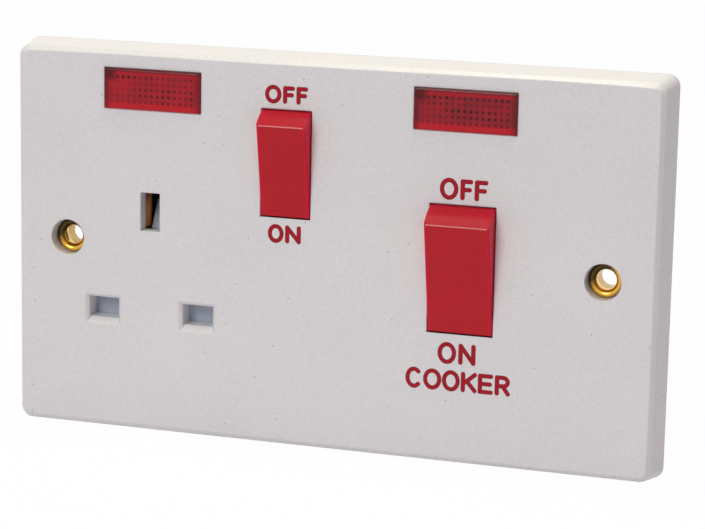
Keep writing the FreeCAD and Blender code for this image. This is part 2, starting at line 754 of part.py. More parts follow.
for pole, offset in COOKER_POLES.items():
    seesaw(f"cooker_{pole}_seesaw", "cooker", f"cooker_rocker_x + {offset}")
    plunger(f"cooker_{pole}_plunger", "cooker", offset)
    plunger_spring(f"cooker_{pole}_spring", "cooker", offset)
seesaw("socket_seesaw", "socket", "socket_rocker_x")
plunger("socket_plunger", "socket", "0")
plunger_spring("socket_spring", "socket", "0")


def cradle(body, name, x, hinge, z, width):
    """A raised block on a strip, grooved to take a see-saw's bead."""
    block = side_sketch(body, f"{name}_cradle", f"{x} - ({width}) / 2", hinge, z)
    span(block, "strip_drop - cradle_rise", "strip_drop", "-cradle_height / 2", "cradle_height / 2")
    pad(body, block, width)
    groove = side_sketch(body, f"{name}_groove", f"{x} + ({width}) / 2", hinge, z)
    circle(groove, "bead_radius + bead_clearance")
    pocket(body, groove, width)


def fixed_contact(body, name, word, x, hinge, z, level):
    """A contact tip on a strip, just clear of the closed see-saw's tip."""
    depth, height = arm_point(f"{word}_contact_arm", "seesaw_thickness / 2 + contact_height", 1)
    turn = "(seesaw_tilt * 1 deg)"
    closed = f"({height} * sin{turn} + {depth} * cos{turn})"
    lean = "(contact_width / 2 * sin((vee_angle - seesaw_tilt) * 1 deg))"
    top = f"({hinge} + {closed} + {lean} + contact_clearance)"
    middle_height = f"({height} * cos{turn} - {depth} * sin{turn})"
    tip = front_sketch(body, f"{name}_tip", level, x, z)
    rectangle(tip, "contact_width", "contact_width", "0", middle_height)
    pad(body, tip, f"{level} - {top}")


def pillar(body, name, x, z):
    """A brass block bored for a cable, with two threaded holes for its clamping screws."""
    block = front_sketch(body, f"{name}_block", REAR, x, z)
    pad(body, rectangle(block, "terminal_width", "terminal_height"), "terminal_depth")
    bore = level_sketch(body, f"{name}_bore", f"{z} + terminal_height / 2", x, CABLE_Y)
    pocket(body, circle(bore, "cable_radius"), "terminal_height")
    taps = front_sketch(body, f"{name}_taps", REAR, x, z)
    for sign in (-1, 1):
        circle(taps, "terminal_screw_radius + thread_clearance", "0", f"{sign} * terminal_screw_pitch / 2")
    pocket(body, taps, "terminal_screw_length + thread_clearance", back=True)


def cooker_terminal(node, pole, end):
    """A cooker switch terminal: the supply end carries a fixed contact, the load end the cradle."""
    body = new_body(node)
    offset = COOKER_POLES[pole]
    sign = -1 if pole == "neutral" else 1
    x = f"(cooker_rocker_x + {offset})"
    pillar_x = f"(cooker_rocker_x + {sign} * terminal_x)"
    pillar_z = f"({end} * terminal_z)"
    outer = f"{end} * (terminal_z - terminal_height / 2)"
    width = "(cooker_seesaw_width)"
    pillar(body, node, pillar_x, pillar_z)
    strip = front_sketch(body, f"{node}_strip", FLOOR)
    if end > 0:
        span(strip, f"{x} - {width} / 2", f"{x} + {width} / 2", "cradle_height / 2 + contact_width", outer)
        pad(body, strip, "strip_thickness")
        fixed_contact(body, node, "cooker", x, COOKER_HINGE, "0", DEEP)
    else:
        tab = f"({x} + {sign} * ({width} / 2 + tab_length))"
        near = f"({x} - {sign} * {width} / 2)"
        far = f"({x} + {sign} * {width} / 2)"
        tab_low = "(-chamber_half_height + tab_from_end)"
        tab_high = f"({tab_low} + tab_width)"
        outline(strip, [(near, outer), (far, outer), (far, tab_low), (tab, tab_low), (tab, tab_high),
                        (far, tab_high), (far, "cradle_height / 2"), (near, "cradle_height / 2")])
        pad(body, strip, "strip_thickness")
        cradle(body, node, x, COOKER_HINGE, "0", width)
    return body


for pole in COOKER_POLES:
    cooker_terminal(f"supply_{pole}_terminal", pole, 1)
    cooker_terminal(f"load_{pole}_terminal", pole, -1)


def leaf(side, rear, mouth):
    """One springy leaf of a pin clip, from its base at the rear to its flared mouth."""
    grip = f"({mouth} + ({rear} - {mouth}) * grip_share)"
    tail = f"({mouth} + ({rear} - {mouth}) * tail_share)"
    inner = [("mouth_half", mouth), ("grip_half", grip), ("tail_half", tail), ("tail_half", rear)]
    outer = [(f"({half} + leaf_thickness)", depth) for half, depth in reversed(inner)]
    return [(f"{side} * {half}", depth) for half, depth in inner + outer]


PIN_MOUTH = f"({SHUTTER_REAR} + 2 * shutter_gap)"
STRIP_HALF = "(tail_half + leaf_thickness)"


def pin_clip(body, name, x, level):
    """A pair of leaves above and below a pin, standing on the strip at the given level."""
    leaves = side_sketch(body, f"{name}_leaves", f"{x} - pin_clip_width / 2", "0", PIN_Z)
    for side in (-1, 1):
        outline(leaves, [(depth, half) for half, depth in leaf(side, level, PIN_MOUTH)])
    pad(body, leaves, "pin_clip_width")


# Switched line: the clip for the line pin on a strip that runs to the socket switch's cradle
line = new_body("line_contact")
line_strip = front_sketch(line, "line_strip", f"{SHALLOW} + strip_thickness")
cradle_left = "socket_rocker_x - socket_seesaw_width / 2"
cradle_right = "socket_rocker_x + socket_seesaw_width / 2"
cradle_top = "socket_rocker_z + cradle_height / 2"
tab_low = "(earth_z - line_tab_drop)"
tab_high = f"({tab_low} + tab_width)"
outline(line_strip, [
    (f"{LINE_X} - pin_clip_width / 2", f"{PIN_Z} - {STRIP_HALF}"), (cradle_right, f"{PIN_Z} - {STRIP_HALF}"),
    (cradle_right, cradle_top), (cradle_left, cradle_top),
    (cradle_left, tab_high), (f"{LINE_X} + pin_clip_width / 2", tab_high),
    (f"{LINE_X} + pin_clip_width / 2", tab_low), (cradle_left, tab_low),
    (cradle_left, f"{PIN_Z} + {STRIP_HALF}"), (f"{LINE_X} - pin_clip_width / 2", f"{PIN_Z} + {STRIP_HALF}")])
pad(line, line_strip, "strip_thickness")
pin_clip(line, "line", LINE_X, SHALLOW)
cradle(line, "line", "socket_rocker_x", SOCKET_HINGE, "socket_rocker_z", "socket_seesaw_width")

# Neutral: the clip for the neutral pin on a bar that runs straight to the supply terminal
neutral = new_body("neutral_contact")
neutral_bar = front_sketch(neutral, "neutral_bar", FLOOR)
BAR_HIGH = "(terminal_z - terminal_height / 2 + 2 * feed_width)"
BAR_LOW = f"({BAR_HIGH} - feed_width)"
SUPPLY_LEFT = "(cooker_rocker_x - terminal_x - terminal_width / 2)"
neutral_left = f"({NEUTRAL_X} - pin_clip_width / 2)"
neutral_right = f"({NEUTRAL_X} + pin_clip_width / 2)"
outline(neutral_bar, [
    (neutral_left, f"{PIN_Z} - {STRIP_HALF}"), (neutral_right, f"{PIN_Z} - {STRIP_HALF}"),
    (neutral_right, f"{PIN_Z} + {STRIP_HALF}"), (f"{neutral_left} + feed_width", f"{PIN_Z} + {STRIP_HALF}"),
    (f"{neutral_left} + feed_width", BAR_LOW), (SUPPLY_LEFT, BAR_LOW), (SUPPLY_LEFT, BAR_HIGH),
    (neutral_left, BAR_HIGH)])
pad(neutral, neutral_bar, "strip_thickness")
pin_clip(neutral, "neutral", NEUTRAL_X, DEEP)

# Line feed: a bar from the supply line terminal to the socket switch's fixed contact
feed = new_body("line_feed_bar")
FEED_RIGHT = "(cooker_rocker_x + terminal_x - terminal_width / 2 + feed_width)"
FEED_HIGH = "(chamber_half_height - strip_clearance)"
FEED_LOW = f"({FEED_HIGH} - feed_width)"
RISER_LEFT = "(socket_rocker_x + socket_seesaw_width / 2 + feed_gap)"
PLATFORM_LOW = "(socket_rocker_z + cradle_height / 2 + contact_width / 2)"
PLATFORM_HIGH = "(socket_rocker_z + socket_arm + platform_margin)"
feed_bar = front_sketch(feed, "feed_bar", f"{SHALLOW} + strip_thickness")
outline(feed_bar, [
    (f"{FEED_RIGHT} - feed_width", "terminal_z - terminal_height / 2"),
    (f"{FEED_RIGHT} - feed_width", FEED_HIGH), (f"{RISER_LEFT} + feed_width", FEED_HIGH),
    (f"{RISER_LEFT} + feed_width", PLATFORM_HIGH), (cradle_left, PLATFORM_HIGH), (cradle_left, PLATFORM_LOW),
    (RISER_LEFT, PLATFORM_LOW), (RISER_LEFT, FEED_LOW), (FEED_RIGHT, FEED_LOW),
    (FEED_RIGHT, "terminal_z - terminal_height / 2")])
pad(feed, feed_bar, "strip_thickness")
fixed_contact(feed, "feed", "socket", "socket_rocker_x", SOCKET_HINGE, "socket_rocker_z", SHALLOW)

# Earth: the clip for the long pin, bridged over the top, on a link that runs to the earth terminal
earth = new_body("earth_contact")
EARTH_MOUTH = f"({INNER} + shutter_gap)"
EARTH_TAIL = f"({SOCKET_HINGE})"
EARTH_LOW = "(earth_z - earth_clip_height / 2)"
EARTH_HIGH = "(earth_z + earth_clip_height / 2)"
leaves = level_sketch(earth, "earth_leaves", EARTH_LOW, "socket_x")
for side in (-1, 1):
    outline(leaves, leaf(side, EARTH_TAIL, EARTH_MOUTH))
pad(earth, leaves, "earth_clip_height")
bridge = level_sketch(earth, "earth_bridge", EARTH_HIGH, "socket_x")
span(bridge, f"-{STRIP_HALF}", STRIP_HALF, "0", EARTH_TAIL)
pad(earth, bridge, "leaf_thickness")
link = level_sketch(earth, "earth_link", EARTH_LOW)
leaf_inner, leaf_outer = "(socket_x + tail_half)", f"(socket_x + {STRIP_HALF})"
link_end = "(earth_terminal_x + pin_clip_width / 2)"
outline(link, [(leaf_inner, EARTH_TAIL), (leaf_outer, EARTH_TAIL), (leaf_outer, DEEP), (link_end, DEEP),
               (link_end, FLOOR), (leaf_inner, FLOOR)])
pad(earth, link, "earth_clip_height / 2")
drop = front_sketch(earth, "earth_drop", FLOOR)
span(drop, "earth_terminal_x - pin_clip_width / 2", link_end, "-terminal_z + terminal_height / 2", "earth_z")
pad(earth, drop, "strip_thickness")

earth_terminal = new_body("earth_terminal")
pillar(earth_terminal, "earth", "earth_terminal_x", "-terminal_z")

# Earth strap: a brass strip under the left bush's flare, folded back along the earth clip
strap = new_body("earth_strap")
strap_rear = "(-bush_flare_thickness)"
strap_flat = front_sketch(strap, "strap_flat", strap_rear)
tab_left = f"(socket_x - {STRIP_HALF} - strap_thickness)"
tab_right = f"(socket_x - {STRIP_HALF})"
strap_low, strap_high = "-strap_width / 2", "strap_width / 2"
outline(strap_flat, [(f"-{FIXING_X} - strap_width / 2", strap_low), (tab_right, strap_low),
                     (tab_right, EARTH_HIGH), (f"{tab_right} - strap_width / 2", EARTH_HIGH),
                     (f"{tab_right} - strap_width / 2", strap_high),
                     (f"-{FIXING_X} - strap_width / 2", strap_high)])
pad(strap, strap_flat, "strap_thickness")
strap_hole = front_sketch(strap, "strap_hole", f"{strap_rear} - strap_thickness")
circle(strap_hole, "bush_bore + bush_wall + bush_gap", f"-{FIXING_X}")
pocket(strap, strap_hole, "strap_thickness")
strap_tab = side_sketch(strap, "strap_tab", tab_left)
span(strap_tab, f"{strap_rear} - strap_thickness", EARTH_TAIL, EARTH_LOW, EARTH_HIGH)
pad(strap, strap_tab, "strap_thickness")

# Shutter: a sprung slide whose wings close the line and neutral slots and whose ramp, between the
# earth clip's leaves, is driven down by the longer earth pin
shutter = new_body("shutter")
WING_LOW = f"({PIN_Z} - pin_slot_height / 2 - shutter_overlap)"
WING_HIGH = f"({PIN_Z} + pin_slot_height / 2 + shutter_overlap)"
wing_half = "(pin_pitch / 2 + pin_slot_width / 2 + shutter_overlap)"
ramp_foot = "(earth_z - earth_slot_height / 2)"
ramp_top = f"({ramp_foot} + shutter_travel)"
stem_top = f"({ramp_foot} - shutter_overlap)"
wings = front_sketch(shutter, "shutter_wings", SHUTTER_REAR, "socket_x")
stem = "(shutter_stem_width / 2)"
outline(wings, [(f"-{wing_half}", WING_LOW), (wing_half, WING_LOW), (wing_half, WING_HIGH), (stem, WING_HIGH),
                (stem, stem_top), (f"-{stem}", stem_top), (f"-{stem}", WING_HIGH),
                (f"-{wing_half}", WING_HIGH)])
pad(shutter, wings, "shutter_thickness")
ramp = side_sketch(shutter, "shutter_ramp", "socket_x - ramp_width / 2")
ramp_rear = f"{SHUTTER_FRONT} + ramp_depth"
outline(ramp, [(SHUTTER_FRONT, WING_HIGH), (SHUTTER_REAR, WING_HIGH), (ramp_rear, stem_top),
               (ramp_rear, ramp_top), (SHUTTER_FRONT, ramp_foot)])
pad(shutter, ramp, "ramp_width")

shutter_spring = doc.addObject("Part::Feature", "shutter_spring")
shutter_spring.Label = "shutter_spring"
coil_inset = number("coil_wire") + number("coil_gap")
coil_low = number(seat_top) + coil_inset
coil_high = number(WING_LOW) - coil_inset
shutter_spring.Shape = coil(number("shutter_coil_radius"), coil_high - coil_low)
seat(shutter_spring, "socket_x", f"({SHUTTER_FRONT} + {SHUTTER_REAR}) / 2",
     f"{seat_top} + coil_wire + coil_gap")

# Rear base: one black moulding with chambers for the socket contacts and the two switches, open
# to the front, and pockets for the terminals, open to the rear and to the edge for the cables
base = new_body("rear_base")
base_outline = front_sketch(base, "base_outline", REAR)
BAY_TOP = f"({PLATFORM_HIGH} + bay_clearance + base_wall)"
outline(base_outline, [
    ("base_left", LOW), ("base_right", LOW), ("base_right", HIGH), ("switch_bay_right", HIGH),
    ("switch_bay_right", BAY_TOP), ("switch_bay_left", BAY_TOP), ("switch_bay_left", HIGH),
    ("base_left", HIGH)])
pad(base, base_outline, REAR)


def on_base_corner(edge):
    upright = edge.BoundBox.XLength + edge.BoundBox.ZLength < 0.01
    return upright and (lies_at(edge.BoundBox.XMin, "base_left") or lies_at(edge.BoundBox.XMin, "base_right"))


ease(base, "Fillet", "base_corner", on_base_corner)

chamber_left = "(cooker_rocker_x - chamber_half_width)"
EARTH_POCKET_LEFT = "(earth_terminal_x - terminal_width / 2 - terminal_gap)"
socket_right = f"({chamber_left} - base_wall)"
pocket_floor = f"({BLOCK_FRONT} - strip_clearance)"
pocket_reach = "(terminal_z - terminal_height / 2 - terminal_gap)"
inner_low, inner_high = f"({LOW} + base_wall)", f"({HIGH} - base_wall)"
socket_chamber = front_sketch(base, "socket_chamber", "0")
outline(socket_chamber, [
    ("base_left + base_wall", inner_low), (f"{EARTH_POCKET_LEFT} - base_wall", inner_low),
    (f"{EARTH_POCKET_LEFT} - base_wall", "-chamber_half_height"), (socket_right, "-chamber_half_height"),
    (socket_right, inner_high), ("switch_bay_right - base_wall", inner_high),
    ("switch_bay_right - base_wall", f"{BAY_TOP} - base_wall"),
    ("switch_bay_left + base_wall", f"{BAY_TOP} - base_wall"),
    ("switch_bay_left + base_wall", inner_high), ("base_left + base_wall", inner_high)])
pocket(base, socket_chamber, FLOOR)
cooker_chamber = front_sketch(base, "cooker_chamber", "0")
rectangle(cooker_chamber, "2 * chamber_half_width", "2 * chamber_half_height", "cooker_rocker_x")
pocket(base, cooker_chamber, FLOOR)

terminal_pockets = front_sketch(base, "terminal_pockets", REAR)
for sign in (-1, 1):
    pocket_x = f"cooker_rocker_x + {sign} * terminal_x"
    half_pocket = "(terminal_width / 2 + terminal_gap)"
    for end in (-1, 1):
        edges = sorted([f"{end} * {pocket_reach}", f"{end} * ({HIGH} + base_wall)"], key=number)
        span(terminal_pockets, f"{pocket_x} - {half_pocket}", f"{pocket_x} + {half_pocket}", *edges)
span(terminal_pockets, EARTH_POCKET_LEFT, "earth_terminal_x + terminal_width / 2 + terminal_gap",
     f"{LOW} - base_wall", f"-{pocket_reach}")
pocket(base, terminal_pockets, f"{REAR} - {pocket_floor}", back=True)

deep_slots = front_sketch(base, "deep_slots", f"{DEEP} - strip_clearance")
slot_reach = f"2 * {pocket_reach} - 2 * chamber_half_height"
for offset in COOKER_POLES.values():
    for end in (-1, 1):
        rectangle(deep_slots, "cooker_seesaw_width + 2 * strip_clearance", slot_reach,
                  f"cooker_rocker_x + {offset}", f"{end} * {pocket_reach}")
span(deep_slots, socket_right, SUPPLY_LEFT, f"{BAR_LOW} - strip_clearance", f"{BAR_HIGH} + strip_clearance")
rectangle(deep_slots, "pin_clip_width + 2 * strip_clearance", slot_reach,
          "earth_terminal_x", f"-{pocket_reach}")
pocket(base, deep_slots, "strip_thickness + strip_clearance")

shallow_slots = front_sketch(base, "shallow_slots", f"{SHALLOW} - strip_clearance")
span(shallow_slots, socket_right, chamber_left, f"{FEED_LOW} - strip_clearance", FEED_HIGH)
span(shallow_slots, f"{FEED_RIGHT} - feed_width - strip_clearance", f"{FEED_RIGHT} + strip_clearance",
     "chamber_half_height", pocket_reach)
pocket(base, shallow_slots, "strip_thickness + 2 * strip_clearance")

posts = front_sketch(base, "strip_posts", FLOOR)
post_size = "strip_post"
rectangle(posts, post_size, post_size, LINE_X, PIN_Z)
rectangle(posts, post_size, post_size, "socket_rocker_x", PIN_Z)
rectangle(posts, post_size, post_size, "socket_rocker_x", f"{EARTH_LOW} - strip_post")
rectangle(posts, post_size, "slim_post", "socket_rocker_x", f"{BAR_LOW} - slim_post")
rectangle(posts, post_size, "slim_post", "socket_rocker_x", f"{PLATFORM_HIGH} - slim_post / 2")
rectangle(posts, "feed_width", post_size, f"{chamber_left} + feed_width", f"{FEED_HIGH} - feed_width / 2")
pad(base, posts, f"{FLOOR} - {SHALLOW} - strip_thickness")
barrier = front_sketch(base, "pole_barrier", FLOOR)
barrier_half = "(cooker_pole_offset - cooker_seesaw_width / 2 - barrier_gap)"
span(barrier, f"cooker_rocker_x - {barrier_half}", f"cooker_rocker_x + {barrier_half}",
     "-chamber_half_height", f"{FEED_LOW} - strip_clearance")
pad(base, barrier, f"{FLOOR} - {COOKER_PIVOT} - leg_length - barrier_drop")
keepers = front_sketch(base, "shutter_keepers", FLOOR)
for sign in (-1, 1):
    keeper_x = f"socket_x + {sign} * (shutter_stem_width / 2 + barrier_gap + keeper_wall / 2)"
    rectangle(keepers, "keeper_wall", "2 * feed_width", keeper_x, f"{WING_HIGH} + feed_width")
pad(base, keepers, FLOOR)
columns = front_sketch(base, "screw_columns", FLOOR)
for screw_x, screw_z in BASE_SCREWS[:2]:
    circle(columns, "screw_post_radius", screw_x, screw_z)
pad(base, columns, FLOOR)
clearance_holes = front_sketch(base, "screw_holes", REAR)
head_recesses = front_sketch(base, "screw_recesses", REAR)
for screw_x, screw_z in BASE_SCREWS:
    circle(clearance_holes, "base_screw_radius + strip_clearance", screw_x, screw_z)
    circle(head_recesses, "base_screw_head + strip_clearance", screw_x, screw_z)
pocket(base, clearance_holes, REAR, back=True)
pocket(base, head_recesses, f"{REAR} - base_screw_grip", back=True)
pin_well = front_sketch(base, "earth_pin_well", FLOOR)
rectangle(pin_well, "earth_slot_width", "earth_slot_height", "socket_x", "earth_z")
pocket(base, pin_well, "base_floor / 2")


def screw(radius, length, head_radius, head_height):
    """A screw along Y: its shank runs to the front from the origin, under the head."""
    to_rear = FreeCAD.Vector(0, 1, 0)
    shank = Part.makeCylinder(radius, length, FreeCAD.Vector(0, -length, 0), to_rear)
    head = Part.makeCylinder(head_radius, head_height, FreeCAD.Vector(), to_rear)
    return shank.fuse(head).removeSplitter()


def screw_group(node, pattern, places):
    """Identical screws in one node, each a solid of its own."""
    group = doc.addObject("Part::Feature", node)
    group.Label = node
    copies = []
    for x, y, z in places:
        copies.append(pattern.translated(FreeCAD.Vector(number(x), number(y), number(z))))
    group.Shape = Part.makeCompound(copies)
    return group


terminal_screw = screw(number("terminal_screw_radius"), number("terminal_screw_length"),
                       number("terminal_screw_radius"), number("terminal_head_height"))
pitches = [f"{sign} * terminal_screw_pitch / 2" for sign in (-1, 1)]
cooker_taps = []
for side in (-1, 1):
    for end in (-1, 1):
        for step in pitches:
            tap_x = f"cooker_rocker_x + {side} * terminal_x"
            cooker_taps.append((tap_x, REAR, f"{end} * terminal_z + {step}"))
screw_group("terminal_screws", terminal_screw, cooker_taps)
screw_group("earth_terminal_screws", terminal_screw,
            [("earth_terminal_x", REAR, f"-terminal_z + {step}") for step in pitches])
shank = f"base_screw_grip - {INNER} - pilot_wall - strip_clearance"
base_screw = screw(number("base_screw_radius"), number(shank),
                   number("base_screw_head"), number("base_screw_head_height"))
screw_group("base_screws", base_screw, [(x, "base_screw_grip", z) for x, z in BASE_SCREWS])


def lead(points, radius):
    """A wire, drawn with four flats, along straight runs joined by tangent arcs; it sets off along X."""
    bend = number("lead_bend")
    edges = []
    start = points[0]
    for before, corner, after in zip(points, points[1:], points[2:]):
        towards, onward = (before - corner).normalize(), (after - corner).normalize()
        enter, leave = corner + towards * bend, corner + onward * bend
        centre = corner + (towards + onward) * bend
        inward = (corner - centre).normalize()
        edges.append(Part.LineSegment(start, enter).toShape())
        edges.append(Part.Arc(enter, centre + inward * bend, leave).toShape())
        start = leave
    edges.append(Part.LineSegment(start, points[-1]).toShape())
    corners = [points[0] + FreeCAD.Vector(0, math.cos(side), math.sin(side)) * radius for side in FLATS]
    section = Part.makePolygon(corners + corners[:1])
    return Part.Wire(edges).makePipeShell([section], True, False)


def neon_lead(node, lens_x, side, landing_x, landing_y, landing_z, with_resistor):
    """A wire from one end of a lamp, out of its carrier, down and back to the strip that feeds it."""
    start_x = number(f"{lens_x} + {side} * lamp_length / 2")
    lamp_y, lamp_z = number(LAMP_Y), number(LENS_Z)
    x, y, z = number(landing_x), number(landing_y), number(landing_z)
    route = [FreeCAD.Vector(start_x, lamp_y, lamp_z), FreeCAD.Vector(x, lamp_y, lamp_z),
             FreeCAD.Vector(x, lamp_y, z), FreeCAD.Vector(x, y, z)]
    shape = lead(route, number("lead_radius"))
    if with_resistor:
        length = number("resistor_length")
        foot = FreeCAD.Vector(x, lamp_y, (lamp_z + z - length) / 2)
        shape = shape.fuse(Part.makeCylinder(number("resistor_radius"), length, foot)).removeSplitter()
    wire = doc.addObject("Part::Feature", node)
    wire.Label = node
    wire.Shape = shape
    return wire


TAB_X = "(cooker_pole_offset + cooker_seesaw_width / 2 + tab_length / 2)"
tab_z = "(-chamber_half_height + tab_from_end + tab_width / 2)"
neon_lead("cooker_neon_resistor", "cooker_rocker_x", 1, f"cooker_rocker_x + {TAB_X}", DEEP, tab_z, True)
neon_lead("cooker_neon_lead", "cooker_rocker_x", -1, f"cooker_rocker_x - {TAB_X}", DEEP, tab_z, False)
line_landing = f"{LINE_X} + pin_clip_width / 2 + landing_inset"
neutral_landing = f"{NEUTRAL_X} + pin_clip_width / 2 - landing_inset"
neon_lead("socket_neon_resistor", "socket_lens_x", 1, line_landing, SHALLOW,
          f"{tab_low} + tab_width / 2", True)
neon_lead("socket_neon_lead", "socket_lens_x", -1, neutral_landing, DEEP,
          f"{BAR_HIGH} - feed_width / 2", False)

doc.recompute()
failed = [item.Label for item in doc.Objects if "Invalid" in item.State or "Error" in item.State]
if failed:
    raise RuntimeError(f"failed objects: {failed}")
sub_parts = [item for item in doc.Objects if item.TypeId in ("PartDesign::Body", "Part::Feature")]
for item in sub_parts:
    if item.Shape.isNull() or not item.Shape.isValid():
        raise RuntimeError(f"{item.Label} has no valid shape")
os.makedirs("parts", exist_ok=True)
for item in sub_parts:
    item.Shape.exportStep(f"parts/{item.Label}.step")
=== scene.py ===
import math
import bmesh
import bpy
from mathutils import Matrix, Vector


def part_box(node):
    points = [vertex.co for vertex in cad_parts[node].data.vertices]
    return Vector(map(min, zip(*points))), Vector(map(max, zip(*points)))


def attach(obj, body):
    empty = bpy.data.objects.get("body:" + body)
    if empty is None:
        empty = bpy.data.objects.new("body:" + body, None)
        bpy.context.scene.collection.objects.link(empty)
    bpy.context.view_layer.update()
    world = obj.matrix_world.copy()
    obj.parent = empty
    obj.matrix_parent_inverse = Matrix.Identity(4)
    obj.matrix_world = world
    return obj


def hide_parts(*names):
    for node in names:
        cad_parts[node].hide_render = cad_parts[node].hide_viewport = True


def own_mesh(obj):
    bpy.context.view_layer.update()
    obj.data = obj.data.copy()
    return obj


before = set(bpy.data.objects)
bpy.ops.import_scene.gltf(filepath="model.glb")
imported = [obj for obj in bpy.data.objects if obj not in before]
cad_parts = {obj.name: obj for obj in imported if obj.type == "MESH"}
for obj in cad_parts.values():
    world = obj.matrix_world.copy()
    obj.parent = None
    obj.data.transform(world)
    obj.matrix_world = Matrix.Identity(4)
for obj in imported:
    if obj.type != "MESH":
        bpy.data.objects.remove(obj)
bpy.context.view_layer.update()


# Rear base: the moulding behind the plate that holds the contacts and terminals. It is pressed from
# black phenolic powder in a hot steel mould, and three screws hold it to the plate.
def linear(code):
    """An sRGB hex colour as linear RGBA."""
    channels = [int(code[i:i + 2], 16) / 255 for i in (1, 3, 5)]
    return [c / 12.92 if c <= 0.04045 else ((c + 0.055) / 1.055) ** 2.4 for c in channels] + [1.0]


def add(material, kind, inputs=None, **settings):
    """Add a node with its settings, and its sockets' values or links."""
    node = material.node_tree.nodes.new(kind)
    for name, value in settings.items():
        setattr(node, name, value)
    for socket, value in (inputs or {}).items():
        if isinstance(value, bpy.types.NodeSocket):
            material.node_tree.links.new(value, node.inputs[socket])
        else:
            node.inputs[socket].default_value = value
    return node


CLOUD_MM = 18.0
CLOUD_SHARE = 0.25
SHADE_SPREAD = 0.3
GLOSS_DRIFT = 0.05


def moulded(name, pale, dark, grain_mm, roughness, bump_mm, arris_mm=0.25):
    """A moulded plastic: a grain of two close shades over soft clouds, and rounded arrises."""
    material = bpy.data.materials.new(name)
    material.use_nodes = True
    shader = material.node_tree.nodes["Principled BSDF"]
    link = material.node_tree.links.new
    place = add(material, "ShaderNodeTexCoord").outputs["Object"]
    clouds = add(material, "ShaderNodeTexNoise",
                 {"Vector": place, "Scale": 1000 / CLOUD_MM, "Detail": 3.0}).outputs["Fac"]
    # A mould's own grain is a few hundredths of a millimetre, so it is drawn coarser to show at all.
    grain = add(material, "ShaderNodeTexNoise",
                {"Vector": place, "Scale": 1000 / grain_mm, "Detail": 2.0}).outputs["Fac"]
    mottle = add(material, "ShaderNodeMath", {0: clouds, 1: CLOUD_SHARE, 2: grain},
                 operation="MULTIPLY_ADD")
    middle = (1 + CLOUD_SHARE) / 2
    share = add(material, "ShaderNodeMapRange",
                {"Value": mottle.outputs[0], "From Min": middle - SHADE_SPREAD,
                 "From Max": middle + SHADE_SPREAD})
    # The two colours of a Mix node are its sockets 6 and 7, and its colour comes out at 2.
    shades = add(material, "ShaderNodeMix",
                 {0: share.outputs["Result"], 6: linear(dark), 7: linear(pale)},
                 name="shades", data_type="RGBA")
    link(shades.outputs[2], shader.inputs["Base Color"])
    gloss = add(material, "ShaderNodeMapRange",
                {"Value": clouds, "To Min": roughness - GLOSS_DRIFT,
                 "To Max": roughness + GLOSS_DRIFT})
    link(gloss.outputs["Result"], shader.inputs["Roughness"])
    arris = add(material, "ShaderNodeBevel", {"Radius": arris_mm / 1000}, samples=6)
    relief = add(material, "ShaderNodeBump",
                 {"Height": grain, "Distance": bump_mm / 1000, "Strength": 0.6,
                  "Normal": arris.outputs["Normal"]})
    link(relief.outputs["Normal"], shader.inputs["Normal"])
    return material


def dress(material, *nodes):
    """Give CAD nodes their finish."""
    for node in nodes:
        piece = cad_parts[node]
        piece.data.materials.clear()
        piece.data.materials.append(material)


# Pressed phenolic is near black and satin, with a fine grain and a soft light along its arrises.
pressed_phenolic = moulded("pressed_phenolic", "#262526", "#19191A",
                           grain_mm=0.25, roughness=0.42, bump_mm=0.02)
dress(pressed_phenolic, "rear_base")


# Terminals and socket contacts: brass blocks sawn from bar and strips stamped from sheet, barrel
# finished and dropped into pockets of the base. The earth clip alone is of bronze.
TARNISH_MM = 4.0
METAL_ARRIS = 0.00012
LINE_DEPTH = 0.00001


def metal(name, bright, dull, roughness, line_mm, stretch=(1.0, 1.0, 1.0)):
    """A worked metal: fine lines in the gloss, drawn out by stretch, and tarnish in soft clouds."""
    material = bpy.data.materials.new(name)
    material.use_nodes = True
    shader = material.node_tree.nodes["Principled BSDF"]
    link = material.node_tree.links.new
    shader.inputs["Metallic"].default_value = 1.0
    place = add(material, "ShaderNodeTexCoord").outputs["Object"]
    drawn_out = add(material, "ShaderNodeMapping", {"Vector": place, "Scale": stretch})
    # Tool lines are hundredths of a millimetre apart, so they are drawn coarser to show at all.
    lines = add(material, "ShaderNodeTexNoise",
                {"Vector": drawn_out.outputs["Vector"], "Scale": 1000 / line_mm,
                 "Detail": 3.0}).outputs["Fac"]
    clouds = add(material, "ShaderNodeTexNoise",
                 {"Vector": place, "Scale": 1000 / TARNISH_MM, "Detail": 4.0})
    share = add(material, "ShaderNodeMapRange",
                {"Value": clouds.outputs["Fac"], "From Min": 0.35, "From Max": 0.65})
    shades = add(material, "ShaderNodeMix",
                 {0: share.outputs["Result"], 6: linear(dull), 7: linear(bright)},
                 name="shades", data_type="RGBA")
    link(shades.outputs[2], shader.inputs["Base Color"])
    gloss = add(material, "ShaderNodeMapRange",
                {"Value": lines, "To Min": roughness * 0.7, "To Max": roughness * 1.4})
    link(gloss.outputs["Result"], shader.inputs["Roughness"])
    arris = add(material, "ShaderNodeBevel", {"Radius": METAL_ARRIS}, samples=4)
    relief = add(material, "ShaderNodeBump",
                 {"Height": lines, "Distance": LINE_DEPTH, "Strength": 0.4,
                  "Normal": arris.outputs["Normal"]})
    link(relief.outputs["Normal"], shader.inputs["Normal"])
    return material


# Stamped brass is a dull yellow with soft reflections, faint drawn lines and clouds of tarnish.
stamped_brass = metal("stamped_brass", "#D6BC84", "#B8965C", roughness=0.34, line_mm=0.2,
                      stretch=(0.08, 1.0, 1.0))
dress(stamped_brass, "supply_line_terminal", "supply_neutral_terminal", "load_line_terminal",
      "load_neutral_terminal", "earth_terminal", "line_contact", "neutral_contact", "earth_strap",
      "line_feed_bar")
